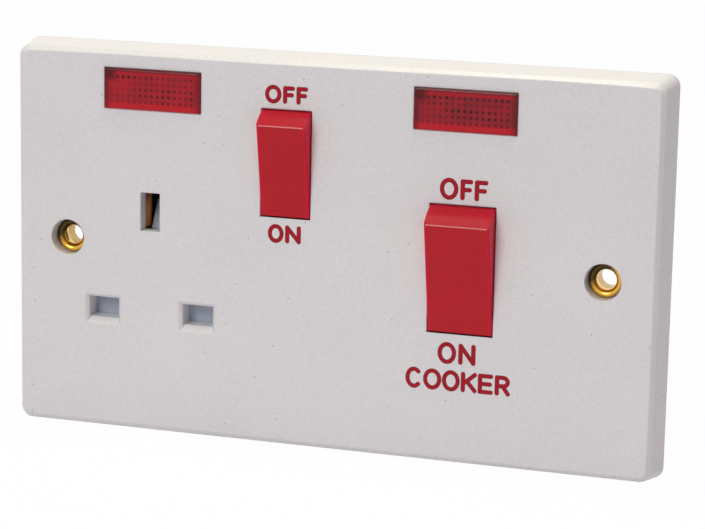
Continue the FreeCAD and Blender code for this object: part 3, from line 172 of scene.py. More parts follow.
# Sprung bronze is orange at the clip's mouth, and painted shade turns it nearly black further in
# and towards the top of the slot, where the slot shades it. Most of the metal's shine is taken away.
CLIP_MOUTH, CLIP_INSIDE = -0.0031, -0.002
SHADE_BELOW, SHADE_ABOVE = 0.0065, 0.0115
sprung_bronze = metal("sprung_bronze", "#FFB878", "#F0A060", roughness=0.5, line_mm=0.3,
                      stretch=(1.0, 1.0, 0.1))
bronze = sprung_bronze.node_tree.nodes["Principled BSDF"]
bronze.inputs["Metallic"].default_value = 0.2
bronze.inputs["Specular IOR Level"].default_value = 0.2
in_slot = add(sprung_bronze, "ShaderNodeTexCoord").outputs["Object"]
slot_axes = add(sprung_bronze, "ShaderNodeSeparateXYZ", {"Vector": in_slot})
# Painted shade: near black further into the slot (Y) and towards the slot's top (Z).
painted_depth_shade = add(sprung_bronze, "ShaderNodeMapRange",
                {"Value": slot_axes.outputs["Y"], "From Min": CLIP_MOUTH, "From Max": CLIP_INSIDE})
shaded = add(sprung_bronze, "ShaderNodeMapRange",
             {"Value": slot_axes.outputs["Z"], "From Min": SHADE_BELOW, "From Max": SHADE_ABOVE,
              "To Max": 0.85})
painted_slot_shade = add(sprung_bronze, "ShaderNodeMath",
             {0: painted_depth_shade.outputs["Result"], 1: shaded.outputs["Result"]}, operation="MAXIMUM")
shade_painted_bronze = add(sprung_bronze, "ShaderNodeMix",
             {0: painted_slot_shade.outputs[0], 6: sprung_bronze.node_tree.nodes["shades"].outputs[2],
              7: linear("#10211F")}, data_type="RGBA")
sprung_bronze.node_tree.links.new(shade_painted_bronze.outputs[2], bronze.inputs["Base Color"])
dress(sprung_bronze, "earth_contact")


# See-saws: the moving contacts of both switches, cut from rolled copper strip and bent to a shallow
# vee. Each rocks on a brass cradle under its plunger.
# Rolled copper is a brownish orange, dulled by handling, with lines along the strip.
rolled_copper = metal("rolled_copper", "#D68C62", "#A65F3E", roughness=0.33, line_mm=0.15,
                      stretch=(1.0, 1.0, 0.08))
dress(rolled_copper, "cooker_line_seesaw", "cooker_neutral_seesaw", "socket_seesaw")


# Plungers and coil springs: nylon pins turned from rod, pushed out of bores in the rockers by coils
# of drawn steel wire, so that their tips press on the see-saws.
# Turned nylon is milky and waxy, as light goes a little way into it.
turned_nylon = moulded("turned_nylon", "#EFECE2", "#E2DED2", grain_mm=0.3, roughness=0.4,
                       bump_mm=0.01, arris_mm=0.1)
nylon = turned_nylon.node_tree.nodes["Principled BSDF"]
nylon.inputs["Subsurface Weight"].default_value = 0.2
nylon.inputs["Subsurface Scale"].default_value = 0.001
dress(turned_nylon, "cooker_line_plunger", "cooker_neutral_plunger", "socket_plunger")
# Drawn spring steel is a plain grey, evenly bright.
drawn_steel = metal("drawn_steel", "#B4B7BA", "#8A8D91", roughness=0.28, line_mm=0.1)
dress(drawn_steel, "cooker_line_spring", "cooker_neutral_spring", "socket_spring")


# Shutter: a slide behind the line and neutral slots, moulded in acetal, with a ramp for each pin.
# It runs in a guide between the plate and the base.
# Moulded acetal is a pale blue grey, smooth and waxy.
moulded_acetal = moulded("moulded_acetal", "#B9C1D1", "#ABB4C4", grain_mm=0.4, roughness=0.36,
                         bump_mm=0.01, arris_mm=0.2)
dress(moulded_acetal, "shutter")


# Shutter spring: a coil of round steel wire between the plate's seat and the shutter, which it holds
# up. It stands on the seat and closes up as the shutter slides down.
COIL_WIRE = 0.00022
COIL_TURNS = 3
STEPS_PER_TURN = 24
WIRE_SIDES = 10


def piece_of(shape, name, material):
    """A finished bmesh as a piece at the origin, in its material."""
    mesh = bpy.data.meshes.new(name)
    shape.to_mesh(mesh)
    shape.free()
    mesh.materials.append(material)
    piece = bpy.data.objects.new(name, mesh)
    bpy.context.scene.collection.objects.link(piece)
    return piece


spring_low, spring_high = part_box("shutter_spring")
spring_foot = Vector(((spring_low.x + spring_high.x) / 2, (spring_low.y + spring_high.y) / 2,
                      spring_low.z))
coil_radius = (spring_high.x - spring_low.x) / 2 - COIL_WIRE
coil_rise = (spring_high.z - spring_low.z - 2 * COIL_WIRE) / (COIL_TURNS * STEPS_PER_TURN)
coil = bmesh.new()
across_wire = Matrix.Translation((coil_radius, 0, 0)) @ Matrix.Rotation(math.pi / 2, 4, "X")
wire_round = bmesh.ops.create_circle(coil, segments=WIRE_SIDES, radius=COIL_WIRE,
                                     matrix=across_wire)["verts"]
wire_edges = list({edge for vert in wire_round for edge in vert.link_edges})
bmesh.ops.spin(coil, geom=wire_round + wire_edges, cent=(0, 0, 0), axis=(0, 0, 1),
               dvec=(0, 0, coil_rise), angle=2 * math.pi * COIL_TURNS,
               steps=COIL_TURNS * STEPS_PER_TURN)
bmesh.ops.holes_fill(coil, edges=[edge for edge in coil.edges if edge.is_boundary], sides=0)
bmesh.ops.recalc_face_normals(coil, faces=coil.faces[:])
bmesh.ops.translate(coil, verts=coil.verts[:], vec=spring_foot + Vector((0, 0, COIL_WIRE)))
for face in coil.faces:
    face.smooth = len(face.verts) == 4
shutter_coil = piece_of(coil, "shutter_coil", drawn_steel)
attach(shutter_coil, "unit")
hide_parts("shutter_spring")
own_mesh(shutter_coil)


# Neon indicators: a small glass tube lies in a white moulded trough behind each lens. One of its
# leads holds a series resistor, and the other runs in a plastic sleeve.
# Drawn glass is clear with a slight warm haze and small sharp highlights.
HAZE_MM = 2.0
drawn_glass = bpy.data.materials.new("drawn_glass")
drawn_glass.use_nodes = True
glass = drawn_glass.node_tree.nodes["Principled BSDF"]
glass.inputs["IOR"].default_value = 1.5
glass.inputs["Transmission Weight"].default_value = 0.8
glass.inputs["Roughness"].default_value = 0.08
on_lamp = add(drawn_glass, "ShaderNodeTexCoord").outputs["Object"]
haze = add(drawn_glass, "ShaderNodeTexNoise",
           {"Vector": on_lamp, "Scale": 1000 / HAZE_MM, "Detail": 3.0})
haze_tint = add(drawn_glass, "ShaderNodeValToRGB", {"Fac": haze.outputs["Fac"]})
haze_tint.color_ramp.elements[0].color = linear("#E8D9C8")
haze_tint.color_ramp.elements[1].color = linear("#F6EFE6")
drawn_glass.node_tree.links.new(haze_tint.outputs["Color"], glass.inputs["Base Color"])
dress(drawn_glass, "cooker_neon_lamp", "socket_neon_lamp")
# Moulded polycarbonate is a plain warm white with a satin face.
moulded_polycarbonate = moulded("moulded_polycarbonate", "#EEECE6", "#E2E0DA", grain_mm=0.3,
                                roughness=0.45, bump_mm=0.01)
dress(moulded_polycarbonate, "cooker_neon_carrier", "socket_neon_carrier")
# Dipped ceramic is tan and a little uneven, with a soft sheen.
dipped_ceramic = moulded("dipped_ceramic", "#C9A878", "#B08C5C", grain_mm=0.3, roughness=0.4,
                         bump_mm=0.02, arris_mm=0.1)
dress(dipped_ceramic, "cooker_neon_resistor", "socket_neon_resistor")
# Extruded PVC is a dull brick red.
extruded_pvc = moulded("extruded_pvc", "#9A3B2C", "#7E2C20", grain_mm=0.3, roughness=0.45,
                       bump_mm=0.01, arris_mm=0.1)
dress(extruded_pvc, "cooker_neon_lead", "socket_neon_lead")


# Front plate: one white moulding with drafted sides, pressed from urea powder in a polished mould.
# Two screws through its bushes fix it to the wall box.
FLECK_SPACING_MM = 4.5
# A fleck's dark core and soft edge, as shares of the spacing.
FLECK_CORE, FLECK_EDGE = 0.022, 0.042
# Moulded urea is a neutral white with a soft gloss: a very fine orange peel, a faint mottle, rounded
# arrises that catch the light, and a few dark flecks that were in the powder.
white_urea = moulded("moulded_white_urea", "#E8E8E8", "#D7D7D7", grain_mm=0.35, roughness=0.34,
                     bump_mm=0.012, arris_mm=0.45)
on_plate = add(white_urea, "ShaderNodeTexCoord").outputs["Object"]
powder = add(white_urea, "ShaderNodeTexVoronoi",
             {"Vector": on_plate, "Scale": 1000 / FLECK_SPACING_MM})
fleck = add(white_urea, "ShaderNodeMapRange",
            {"Value": powder.outputs["Distance"], "From Min": FLECK_CORE, "From Max": FLECK_EDGE,
             "To Min": 0.75, "To Max": 0.0})
flecked = add(white_urea, "ShaderNodeMix",
              {0: fleck.outputs["Result"], 6: white_urea.node_tree.nodes["shades"].outputs[2],
               7: linear("#6E6B6C")}, data_type="RGBA")
white_urea.node_tree.links.new(
    flecked.outputs[2], white_urea.node_tree.nodes["Principled BSDF"].inputs["Base Color"])
dress(white_urea, "front_plate")
# A rib of the same urea inside the plate guides the shutter's outer end and keeps light out there.
# Its side is drawn in millimetres, as depth and height.
RIB_LEFT, RIB_RIGHT = -0.0573, -0.0562
RIB_SIDE = [(-5.48, -25.0), (-5.48, -19.75), (-3.78, -19.75), (-3.78, -10.66), (-5.48, -10.66),
            (-5.48, -9.0), (3.0, -9.0), (3.0, -25.0)]
rib = bmesh.new()
rib.faces.new([rib.verts.new((RIB_LEFT, depth / 1000, height / 1000)) for depth, height in RIB_SIDE])
second_side = bmesh.ops.extrude_face_region(rib, geom=rib.verts[:] + rib.edges[:] + rib.faces[:],
                                            use_keep_orig=True)["geom"]
bmesh.ops.translate(rib, verts=[item for item in second_side if isinstance(item, bmesh.types.BMVert)],
                    vec=(RIB_RIGHT - RIB_LEFT, 0, 0))
bmesh.ops.recalc_face_normals(rib, faces=rib.faces[:])
shutter_guide = piece_of(rib, "shutter_guide_rib", white_urea)
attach(shutter_guide, "unit")


# Fixing bushes: brass eyelets pressed through the ends of the plate for the two fixing screws. The
# front of each is rolled to a rounded flange, and the rear is flared over to hold it.
BUSH_X = 60.3
LEFT_LEAN = -0.8
DARK_REFLECTION_FROM, DARK_REFLECTION_FULL = -0.0008, 0.0022
# Polished brass is bright gold in the bore and on the lower rim, the bore painted paler than the rim as
# painted light, and a painted dark reflection turns the upper left of the rim nearly black.
polished_brass = metal("polished_brass", "#F4D898", "#E6C078", roughness=0.16, line_mm=0.6)
brass = polished_brass.node_tree.nodes["Principled BSDF"]
brass.inputs["Specular Tint"].default_value = linear("#FFF4DC")
by_bush = add(polished_brass, "ShaderNodeTexCoord").outputs["Object"]
bush_axes = add(polished_brass, "ShaderNodeSeparateXYZ", {"Vector": by_bush})
end_of_plate = add(polished_brass, "ShaderNodeMath", {0: bush_axes.outputs["X"]}, operation="SIGN")
from_centre = add(polished_brass, "ShaderNodeMath",
                  {0: end_of_plate.outputs[0], 1: -BUSH_X / 1000, 2: bush_axes.outputs["X"]},
                  operation="MULTIPLY_ADD")
leftward = add(polished_brass, "ShaderNodeMath",
               {0: from_centre.outputs[0], 1: LEFT_LEAN, 2: bush_axes.outputs["Z"]},
               operation="MULTIPLY_ADD")
# Painted dark reflection: the upper left of the rim is mixed towards near black.
upper_left = add(polished_brass, "ShaderNodeMapRange",
                 {"Value": leftward.outputs[0], "From Min": DARK_REFLECTION_FROM, "From Max": DARK_REFLECTION_FULL,
                  "To Max": 0.94})
# Painted light: the bore keeps the paler gold, and the rim facing forward takes a darker gold.
bush_normal = add(polished_brass, "ShaderNodeNewGeometry").outputs["Normal"]
forward = add(polished_brass, "ShaderNodeVectorMath", {0: bush_normal, 1: (0, -1, 0)},
              operation="DOT_PRODUCT")
on_rim = add(polished_brass, "ShaderNodeMapRange",
             {"Value": forward.outputs["Value"], "From Min": 0.1, "From Max": 0.35})
bore_painted_paler = add(polished_brass, "ShaderNodeMix",
               {0: on_rim.outputs["Result"], 6: polished_brass.node_tree.nodes["shades"].outputs[2],
                7: linear("#DDAA4A")}, data_type="RGBA")
painted_dark_reflection = add(polished_brass, "ShaderNodeMath",
              {0: upper_left.outputs["Result"], 1: on_rim.outputs["Result"]}, operation="MULTIPLY")
reflection_painted_brass = add(polished_brass, "ShaderNodeMix",
             {0: painted_dark_reflection.outputs[0], 6: bore_painted_paler.outputs[2], 7: linear("#2E2A22")}, data_type="RGBA")
polished_brass.node_tree.links.new(reflection_painted_brass.outputs[2], brass.inputs["Base Color"])
# The eyelet's section, as radius and depth in millimetres, from the flared rear to the rolled front.
EYELET = [(2.1, 0.0), (2.14, -0.02), (3.28, -0.02), (3.38, -0.1), (3.4, -0.25), (3.36, -0.42),
          (3.24, -0.5), (2.78, -0.5), (2.7, -0.58), (2.7, -5.36), (2.78, -5.4), (3.45, -5.4),
          (3.6, -5.46), (3.68, -5.58), (3.7, -5.72), (3.66, -5.88), (3.54, -6.0), (3.36, -6.07),
          (3.12, -6.1), (2.88, -6.06), (2.66, -5.95), (2.46, -5.76), (2.3, -5.5), (2.18, -5.15),
          (2.12, -4.75), (2.1, -4.3)]
EYELET_SIDES = 72
for side, x in (("left", -BUSH_X), ("right", BUSH_X)):
    eyelet = bmesh.new()
    section = [eyelet.verts.new((radius / 1000, depth / 1000, 0)) for radius, depth in EYELET]
    for first, second in zip(section, section[1:] + section[:1]):
        eyelet.edges.new((first, second))
    bmesh.ops.spin(eyelet, geom=eyelet.verts[:] + eyelet.edges[:], cent=(0, 0, 0), axis=(0, 1, 0),
                   angle=2 * math.pi, steps=EYELET_SIDES, use_merge=True)
    bmesh.ops.remove_doubles(eyelet, verts=eyelet.verts[:], dist=1e-7)
    bmesh.ops.recalc_face_normals(eyelet, faces=eyelet.faces[:])
    for face in eyelet.faces:
        face.smooth = True
    bmesh.ops.translate(eyelet, verts=eyelet.verts[:], vec=(x / 1000, 0, 0))
    bush = piece_of(eyelet, f"{side}_eyelet", polished_brass)
    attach(bush, "unit")
    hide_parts(f"{side}_fixing_bush")


# Screws: turned steel with slotted cheese heads, zinc plated. Short ones clamp the cables in the
# terminals, and three longer ones hold the base to the plate. Sizes are in millimetres.
# Zinc plate is a cool light grey with a slightly hazy shine.
zinc_plate = metal("zinc_plated_steel", "#C9CCD0", "#A4A8AE", roughness=0.27, line_mm=0.12)
TIP_CHAMFER = 0.35
HEAD_ROUND = 0.15
SHANK_SIDES = 32
HEAD_SIDES = 40


def slotted_screws(name, node, places, shank, length, head, height, slot, depth):
    """Screws along Y with their heads to the rear; shank and head are radii."""
    one = bmesh.new()
    core = height - depth
    outline = [(0, -length), (shank - TIP_CHAMFER, -length), (shank, TIP_CHAMFER - length), (shank, 0),
               (head, 0), (head, core), (0, core)]
    made = [one.verts.new((radius, 0, along)) for radius, along in outline]
    edges = [one.edges.new(pair) for pair in zip(made, made[1:])]
    bmesh.ops.spin(one, geom=made + edges, cent=(0, 0, 0), axis=(0, 0, 1), angle=2 * math.pi,
                   steps=SHANK_SIDES, use_merge=True)
    for half in (-1, 1):
        disc = bmesh.ops.create_circle(one, cap_ends=True, segments=HEAD_SIDES, radius=head,
                                       matrix=Matrix.Translation((0, 0, core)))["verts"]
        faces = list({face for vert in disc for face in vert.link_faces})
        rim = list({edge for vert in disc for edge in vert.link_edges})
        cut = bmesh.ops.bisect_plane(one, geom=disc + rim + faces, plane_co=(half * slot / 2, 0, 0),
                                     plane_no=(half, 0, 0), clear_inner=True)
        lid = [item for item in cut["geom"] if isinstance(item, bmesh.types.BMFace)]
        raised = bmesh.ops.extrude_face_region(one, geom=lid)["geom"]
        crown = [item for item in raised if isinstance(item, bmesh.types.BMFace)]
        lifted = [item for item in raised if isinstance(item, bmesh.types.BMVert)]
        bmesh.ops.translate(one, verts=lifted, vec=(0, 0, depth))
        bmesh.ops.bevel(one, geom=list({edge for face in crown for edge in face.edges}),
                        offset=HEAD_ROUND, segments=2, profile=0.5, affect="EDGES", material=-1)
    single = bpy.data.meshes.new(f"{name}_single")
    one.to_mesh(single)
    one.free()
    shape = bmesh.new()
    for at in places:
        placed = single.copy()
        placed.transform(Matrix.Translation(at) @ Matrix.Rotation(-math.pi / 2, 4, "X"))
        shape.from_mesh(placed)
        bpy.data.meshes.remove(placed)
    bpy.data.meshes.remove(single)
    bmesh.ops.remove_doubles(shape, verts=shape.verts[:], dist=1e-4)
    bmesh.ops.recalc_face_normals(shape, faces=shape.faces[:])
    bmesh.ops.scale(shape, verts=shape.verts[:], vec=(0.001, 0.001, 0.001))
    piece = piece_of(shape, name, zinc_plate)
    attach(piece, "unit")
    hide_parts(node)


CLAMP_Y = 16.26
TERMINAL_Z = 22.9
PAIR_STEPS = (-2.2, 2.2)
COOKER_POLES_X = (21.25, 38.45)
EARTH_X = 4.0
CLAMP_SCREW = {"shank": 1.75, "length": 3.8, "head": 1.75, "height": 1.6, "slot": 0.7, "depth": 0.8}
cable_screws = [(x, CLAMP_Y, end * TERMINAL_Z + step)
                for x in COOKER_POLES_X for end in (-1, 1) for step in PAIR_STEPS]
slotted_screws("cable_clamp_screws", "terminal_screws", cable_screws, **CLAMP_SCREW)
earth_screws = [(EARTH_X, CLAMP_Y, -TERMINAL_Z + step) for step in PAIR_STEPS]
slotted_screws("earth_clamp_screws", "earth_terminal_screws", earth_screws, **CLAMP_SCREW)
base_posts = [(-46.95, 3.0, 15.6), (-20.25, 3.0, -23.35), (29.85, 3.0, -22.9)]
slotted_screws("base_fixing_screws", "base_screws", base_posts, shank=1.4, length=7.3, head=2.6,
               height=1.8, slot=0.8, depth=0.9)


# Neon lenses: caps moulded in clear red acrylic and snapped into the plate, with rows of small
# prisms on the inside.
PRISM_MM = 1.32
LENS_Z = 33.75
LENS_HALF_HEIGHT = 0.0044
ROWS_HALF_HEIGHT, ROWS_HALF_WIDTH = 0.0033, 0.0099
ROWS_COUNT = 5
# A dot's dark core and soft edge, as squared shares of the prisms' spacing.
DOT_CORE, DOT_EDGE = 0.012, 0.15
LEFT_ROWS_END, RIGHT_ROWS_START = -0.0052, -0.0032
BLOT_MM = 2.5
PATCH_MM = 4.0
CORNER_FROM, CORNER_FULL = -0.0078, -0.0092
CORNER_BELOW, CORNER_ABOVE = 0.0012, 0.0024
LEFT_END_FROM, LEFT_END_FULL = -0.0096, -0.0103
RIGHT_END_FROM, RIGHT_END_FULL = 0.0096, 0.0105


# Moulded acrylic is deep red under a sharp gloss. Through it the prisms show as rows of dark dots,
# some clear and some lost, with brighter patches between them, and the lens darkens to its ends.
def lens_acrylic(name, x, body, left_rows, right_rows):
    """Red acrylic over prisms, with the strength of the dots by row from below, at each end."""
    material = bpy.data.materials.new(name)
    material.use_nodes = True
    shader = material.node_tree.nodes["Principled BSDF"]
    shader.inputs["Roughness"].default_value = 0.07
    shader.inputs["IOR"].default_value = 1.49
    shader.inputs["Specular IOR Level"].default_value = 0.2
    place = add(material, "ShaderNodeTexCoord").outputs["Object"]
    centred = add(material, "ShaderNodeMapping",
                  {"Vector": place, "Location": (-x / 1000, 0, -LENS_Z / 1000)})
    axes = add(material, "ShaderNodeSeparateXYZ", {"Vector": centred.outputs["Vector"]}).outputs

    # A round dot in each prism: the squared distance from the middle of its cell.
    squares = []
    for axis in ("X", "Z"):
        steps = add(material, "ShaderNodeMath", {0: axes[axis], 1: 1000 / PRISM_MM, 2: 0.5},
                    operation="MULTIPLY_ADD")
        cell = add(material, "ShaderNodeMath", {0: steps.outputs[0]}, operation="FRACT")
        offset = add(material, "ShaderNodeMath", {0: cell.outputs[0], 1: 0.5}, operation="SUBTRACT")
        squares.append(add(material, "ShaderNodeMath", {0: offset.outputs[0], 1: 2.0},
                           operation="POWER"))
    total = add(material, "ShaderNodeMath", {0: squares[0].outputs[0], 1: squares[1].outputs[0]},
                operation="ADD")
    dots = add(material, "ShaderNodeMapRange",
               {"Value": total.outputs[0], "From Min": DOT_CORE, "From Max": DOT_EDGE,
                "To Min": 1.0, "To Max": 0.0})

    # The dots' strength, by row and along the lens, broken up by blots.
    row = add(material, "ShaderNodeMapRange",
              {"Value": axes["Z"], "From Min": -ROWS_HALF_HEIGHT, "From Max": ROWS_HALF_HEIGHT})
    ends = []
    for strengths in (left_rows, right_rows):
        rows = add(material, "ShaderNodeValToRGB", {"Fac": row.outputs["Result"]})
        rows.color_ramp.interpolation = "CONSTANT"
        levels = rows.color_ramp.elements
        levels[0].color = (strengths[0],) * 3 + (1,)
        levels[1].position = (ROWS_COUNT - 1) / ROWS_COUNT
        levels[1].color = (strengths[-1],) * 3 + (1,)
        for step in range(1, ROWS_COUNT - 1):
            levels.new(step / ROWS_COUNT).color = (strengths[step],) * 3 + (1,)
        ends.append(rows.outputs["Color"])
    along = add(material, "ShaderNodeMapRange",
                {"Value": axes["X"], "From Min": LEFT_ROWS_END, "From Max": RIGHT_ROWS_START})
    clear = add(material, "ShaderNodeMix", {0: along.outputs["Result"], 6: ends[0], 7: ends[1]},
                data_type="RGBA")
    blots = add(material, "ShaderNodeTexNoise",
                {"Vector": place, "Scale": 1000 / BLOT_MM, "Detail": 2.0})
    faint = add(material, "ShaderNodeMapRange",
                {"Value": blots.outputs["Fac"], "From Min": 0.35, "From Max": 0.6,
                 "To Min": 0.55, "To Max": 1.0})
    marked = add(material, "ShaderNodeMath", {0: dots.outputs["Result"], 1: clear.outputs[2]},
                 operation="MULTIPLY")
    strength = add(material, "ShaderNodeMath", {0: marked.outputs[0], 1: faint.outputs["Result"]},
                   operation="MULTIPLY")
    above = add(material, "ShaderNodeMath", {0: axes["Z"]}, operation="ABSOLUTE")
    in_rows = add(material, "ShaderNodeMath", {0: above.outputs[0], 1: ROWS_HALF_HEIGHT},
                  operation="LESS_THAN")
    across = add(material, "ShaderNodeMath", {0: axes["X"]}, operation="ABSOLUTE")
    in_columns = add(material, "ShaderNodeMath", {0: across.outputs[0], 1: ROWS_HALF_WIDTH},
                     operation="LESS_THAN")
    field = add(material, "ShaderNodeMath", {0: in_rows.outputs[0], 1: in_columns.outputs[0]},
                operation="MULTIPLY")
    inside = add(material, "ShaderNodeMath", {0: strength.outputs[0], 1: field.outputs[0]},
                 operation="MULTIPLY")

    # The body's red in bands from the lower to the upper edge, and brighter patches in the rows.
    height = add(material, "ShaderNodeMapRange",
                 {"Value": axes["Z"], "From Min": -LENS_HALF_HEIGHT, "From Max": LENS_HALF_HEIGHT})
    bands = add(material, "ShaderNodeValToRGB", {"Fac": height.outputs["Result"]})
    reds = bands.color_ramp.elements
    reds[0].position, reds[0].color = 0.0, linear("#BE1826")
    reds[1].position, reds[1].color = 1.0, linear("#5E0C16")
    for position, colour in ((0.13, "#C01826"), (0.24, body), (0.8, body), (0.9, "#B01626"),
                             (0.96, "#6E0E1A")):
        reds.new(position).color = linear(colour)
    patches = add(material, "ShaderNodeTexNoise",
                  {"Vector": place, "Scale": 1000 / PATCH_MM, "Detail": 3.0})
    lit = add(material, "ShaderNodeMapRange",
              {"Value": patches.outputs["Fac"], "From Min": 0.46, "From Max": 0.66, "To Max": 0.4})
    lit_rows = add(material, "ShaderNodeMath", {0: lit.outputs["Result"], 1: field.outputs[0]},
                   operation="MULTIPLY")
    glowing = add(material, "ShaderNodeMix",
                  {0: lit_rows.outputs[0], 6: bands.outputs["Color"], 7: linear("#C41A28")},
                  data_type="RGBA")

    # The dark red of the dots also fills the upper left corner and shades both ends.
    leftmost = add(material, "ShaderNodeMapRange",
                   {"Value": axes["X"], "From Min": CORNER_FROM, "From Max": CORNER_FULL,
                    "To Max": 0.75})
    uppermost = add(material, "ShaderNodeMapRange",
                    {"Value": axes["Z"], "From Min": CORNER_BELOW, "From Max": CORNER_ABOVE})
    corner = add(material, "ShaderNodeMath",
                 {0: leftmost.outputs["Result"], 1: uppermost.outputs["Result"]},
                 operation="MULTIPLY")
    left_end = add(material, "ShaderNodeMapRange",
                   {"Value": axes["X"], "From Min": LEFT_END_FROM, "From Max": LEFT_END_FULL,
                    "To Max": 0.5})
    right_end = add(material, "ShaderNodeMapRange",
                    {"Value": axes["X"], "From Min": RIGHT_END_FROM, "From Max": RIGHT_END_FULL,
                     "To Max": 0.42})
    both_ends = add(material, "ShaderNodeMath",
                    {0: left_end.outputs["Result"], 1: right_end.outputs["Result"]},
                    operation="MAXIMUM")
    darker = add(material, "ShaderNodeMath", {0: inside.outputs[0], 1: both_ends.outputs[0]},
                 operation="MAXIMUM")
    # The dots, both ends and the upper left corner share one dark red.
    dark_share = add(material, "ShaderNodeMath", {0: darker.outputs[0], 1: corner.outputs[0]},
                  operation="MAXIMUM")
    tinted = add(material, "ShaderNodeMix",
                 {0: dark_share.outputs[0], 6: glowing.outputs[2], 7: linear("#36080F")},
                 data_type="RGBA")
    material.node_tree.links.new(tinted.outputs[2], shader.inputs["Base Color"])
    return material


socket_acrylic = lens_acrylic("moulded_acrylic_socket", x=-40.3, body="#A41B29",
                              left_rows=(0.5, 0.4, 0.3, 0.15, 1.0),
                              right_rows=(0.7, 0.9, 0.95, 0.5, 0.65))
dress(socket_acrylic, "socket_neon_lens")
cooker_acrylic = lens_acrylic("moulded_acrylic_cooker", x=29.85, body="#901E2A",
                              left_rows=(0.5, 0.45, 0.4, 0.65, 1.0),
                              right_rows=(0.8, 0.85, 0.95, 0.55, 1.0))
dress(cooker_acrylic, "cooker_neon_lens")


# Rockers: red urea mouldings, pivoted in the plate, each with a flat finger face between rounded
# long edges, on a drum that turns in the opening.
EDGE_OUTER, EDGE_INNER = 0.0003, 0.001
ARRIS_ROUND = 0.0004
ARRIS_MARGIN = 0.0006


# Moulded red urea is softly glossy. A painted highlight makes the long edges a brighter red, painted
# shade makes the upward-facing drum a darker red, and a painted highlight runs pale along the arris
# above the pivot.
def rocker_urea(name, x, z, half_width):
    """Red urea for a rocker whose pivot is at x and z, sizes in millimetres."""
    material = moulded(name, "#C22C34", "#B82730", grain_mm=0.25, roughness=0.2, bump_mm=0.006,
                       arris_mm=0.3)
    shader = material.node_tree.nodes["Principled BSDF"]
    shader.inputs["Specular IOR Level"].default_value = 0.06
    side = half_width / 1000
    place = add(material, "ShaderNodeTexCoord").outputs["Object"]
    axes = add(material, "ShaderNodeSeparateXYZ", {"Vector": place}).outputs
    offset = add(material, "ShaderNodeMath", {0: axes["X"], 1: x / 1000}, operation="SUBTRACT")
    outward = add(material, "ShaderNodeMath", {0: offset.outputs[0]}, operation="ABSOLUTE")
    # Painted highlight: a brighter red over the long edges and sides.
    edge = add(material, "ShaderNodeMapRange",
               {"Value": outward.outputs[0], "From Min": side - EDGE_INNER,
                "From Max": side - EDGE_OUTER, "To Max": 0.8})
    painted_edge_highlight = add(material, "ShaderNodeMix",
                   {0: edge.outputs["Result"], 6: material.node_tree.nodes["shades"].outputs[2],
                    7: linear("#D8203F")}, data_type="RGBA")
    facing = add(material, "ShaderNodeNewGeometry").outputs["Normal"]
    upward = add(material, "ShaderNodeVectorMath", {0: facing, 1: (0, 0, 1)},
                 operation="DOT_PRODUCT")
    # Painted shade: surfaces facing up, on the drum, take a darker red.
    drum = add(material, "ShaderNodeMapRange",
               {"Value": upward.outputs["Value"], "From Min": 0.2, "From Max": 0.6, "To Max": 0.6})
    painted_drum_shade = add(material, "ShaderNodeMix",
                 {0: drum.outputs["Result"], 6: painted_edge_highlight.outputs[2], 7: linear("#B4142A")},
                 data_type="RGBA")
    # Painted highlight: a pale line on the rounded arris above the pivot, inside the long edges.
    rounded = add(material, "ShaderNodeBevel", {"Radius": ARRIS_ROUND}, samples=8)
    turn = add(material, "ShaderNodeVectorMath", {0: rounded.outputs["Normal"], 1: facing},
               operation="DOT_PRODUCT")
    bent = add(material, "ShaderNodeMapRange",
               {"Value": turn.outputs["Value"], "From Min": 0.998, "From Max": 0.95})
    upper = add(material, "ShaderNodeMath", {0: axes["Z"], 1: z / 1000}, operation="GREATER_THAN")
    between = add(material, "ShaderNodeMath", {0: outward.outputs[0], 1: side - ARRIS_MARGIN},
                  operation="LESS_THAN")
    top_only = add(material, "ShaderNodeMath", {0: bent.outputs["Result"], 1: upper.outputs[0]},
                   operation="MULTIPLY")
    line = add(material, "ShaderNodeMath", {0: top_only.outputs[0], 1: between.outputs[0]},
               operation="MULTIPLY")
    painted_arris_highlight = add(material, "ShaderNodeMix",
                   {0: line.outputs[0], 6: painted_drum_shade.outputs[2], 7: linear("#EDB2B4")},
                   data_type="RGBA")
    material.node_tree.links.new(painted_arris_highlight.outputs[2], shader.inputs["Base Color"])
    return material


dress(rocker_urea("moulded_red_urea_cooker", x=29.85, z=0.0, half_width=7.2), "cooker_rocker")
dress(rocker_urea("moulded_red_urea_socket", x=-9.56, z=19.8, half_width=5.6), "socket_rocker")


# Lettering: OFF and ON at both rockers and the word COOKER under the large one, cut in the mould
# as round-ended strokes and filled with red enamel, which stands a hair proud of the face.
# Filled enamel is crimson and satin, with its sloping sides darkened by painted shade, as the cut's
# edges would be shaded.
red_enamel = moulded("filled_red_enamel", "#B01426", "#9C0F20", grain_mm=0.2, roughness=0.42,
                     bump_mm=0.01, arris_mm=0.02)
enamel = red_enamel.node_tree.nodes["Principled BSDF"]
enamel.inputs["Specular IOR Level"].default_value = 0.2
# Painted shade: the stroke's sloping sides take a dark red.
on_stroke = add(red_enamel, "ShaderNodeNewGeometry").outputs["Normal"]
slope = add(red_enamel, "ShaderNodeVectorMath", {0: on_stroke, 1: (0, -1, 0)},
            operation="DOT_PRODUCT")
groove_shade_share = add(red_enamel, "ShaderNodeMapRange",
                 {"Value": slope.outputs["Value"], "From Min": 0.995, "From Max": 0.93,
                  "To Max": 0.8})
painted_groove_shade = add(red_enamel, "ShaderNodeMix",
              {0: groove_shade_share.outputs["Result"], 6: red_enamel.node_tree.nodes["shades"].outputs[2],
               7: linear("#6E0A18")}, data_type="RGBA")
red_enamel.node_tree.links.new(painted_groove_shade.outputs[2], enamel.inputs["Base Color"])
# The plate's face, the enamel's height on it and the round letters' overshoot, in millimetres.
FACE = -8.5
PROUD = 0.05
OVERSHOOT = 0.12
DEGREES_A_STEP = 12
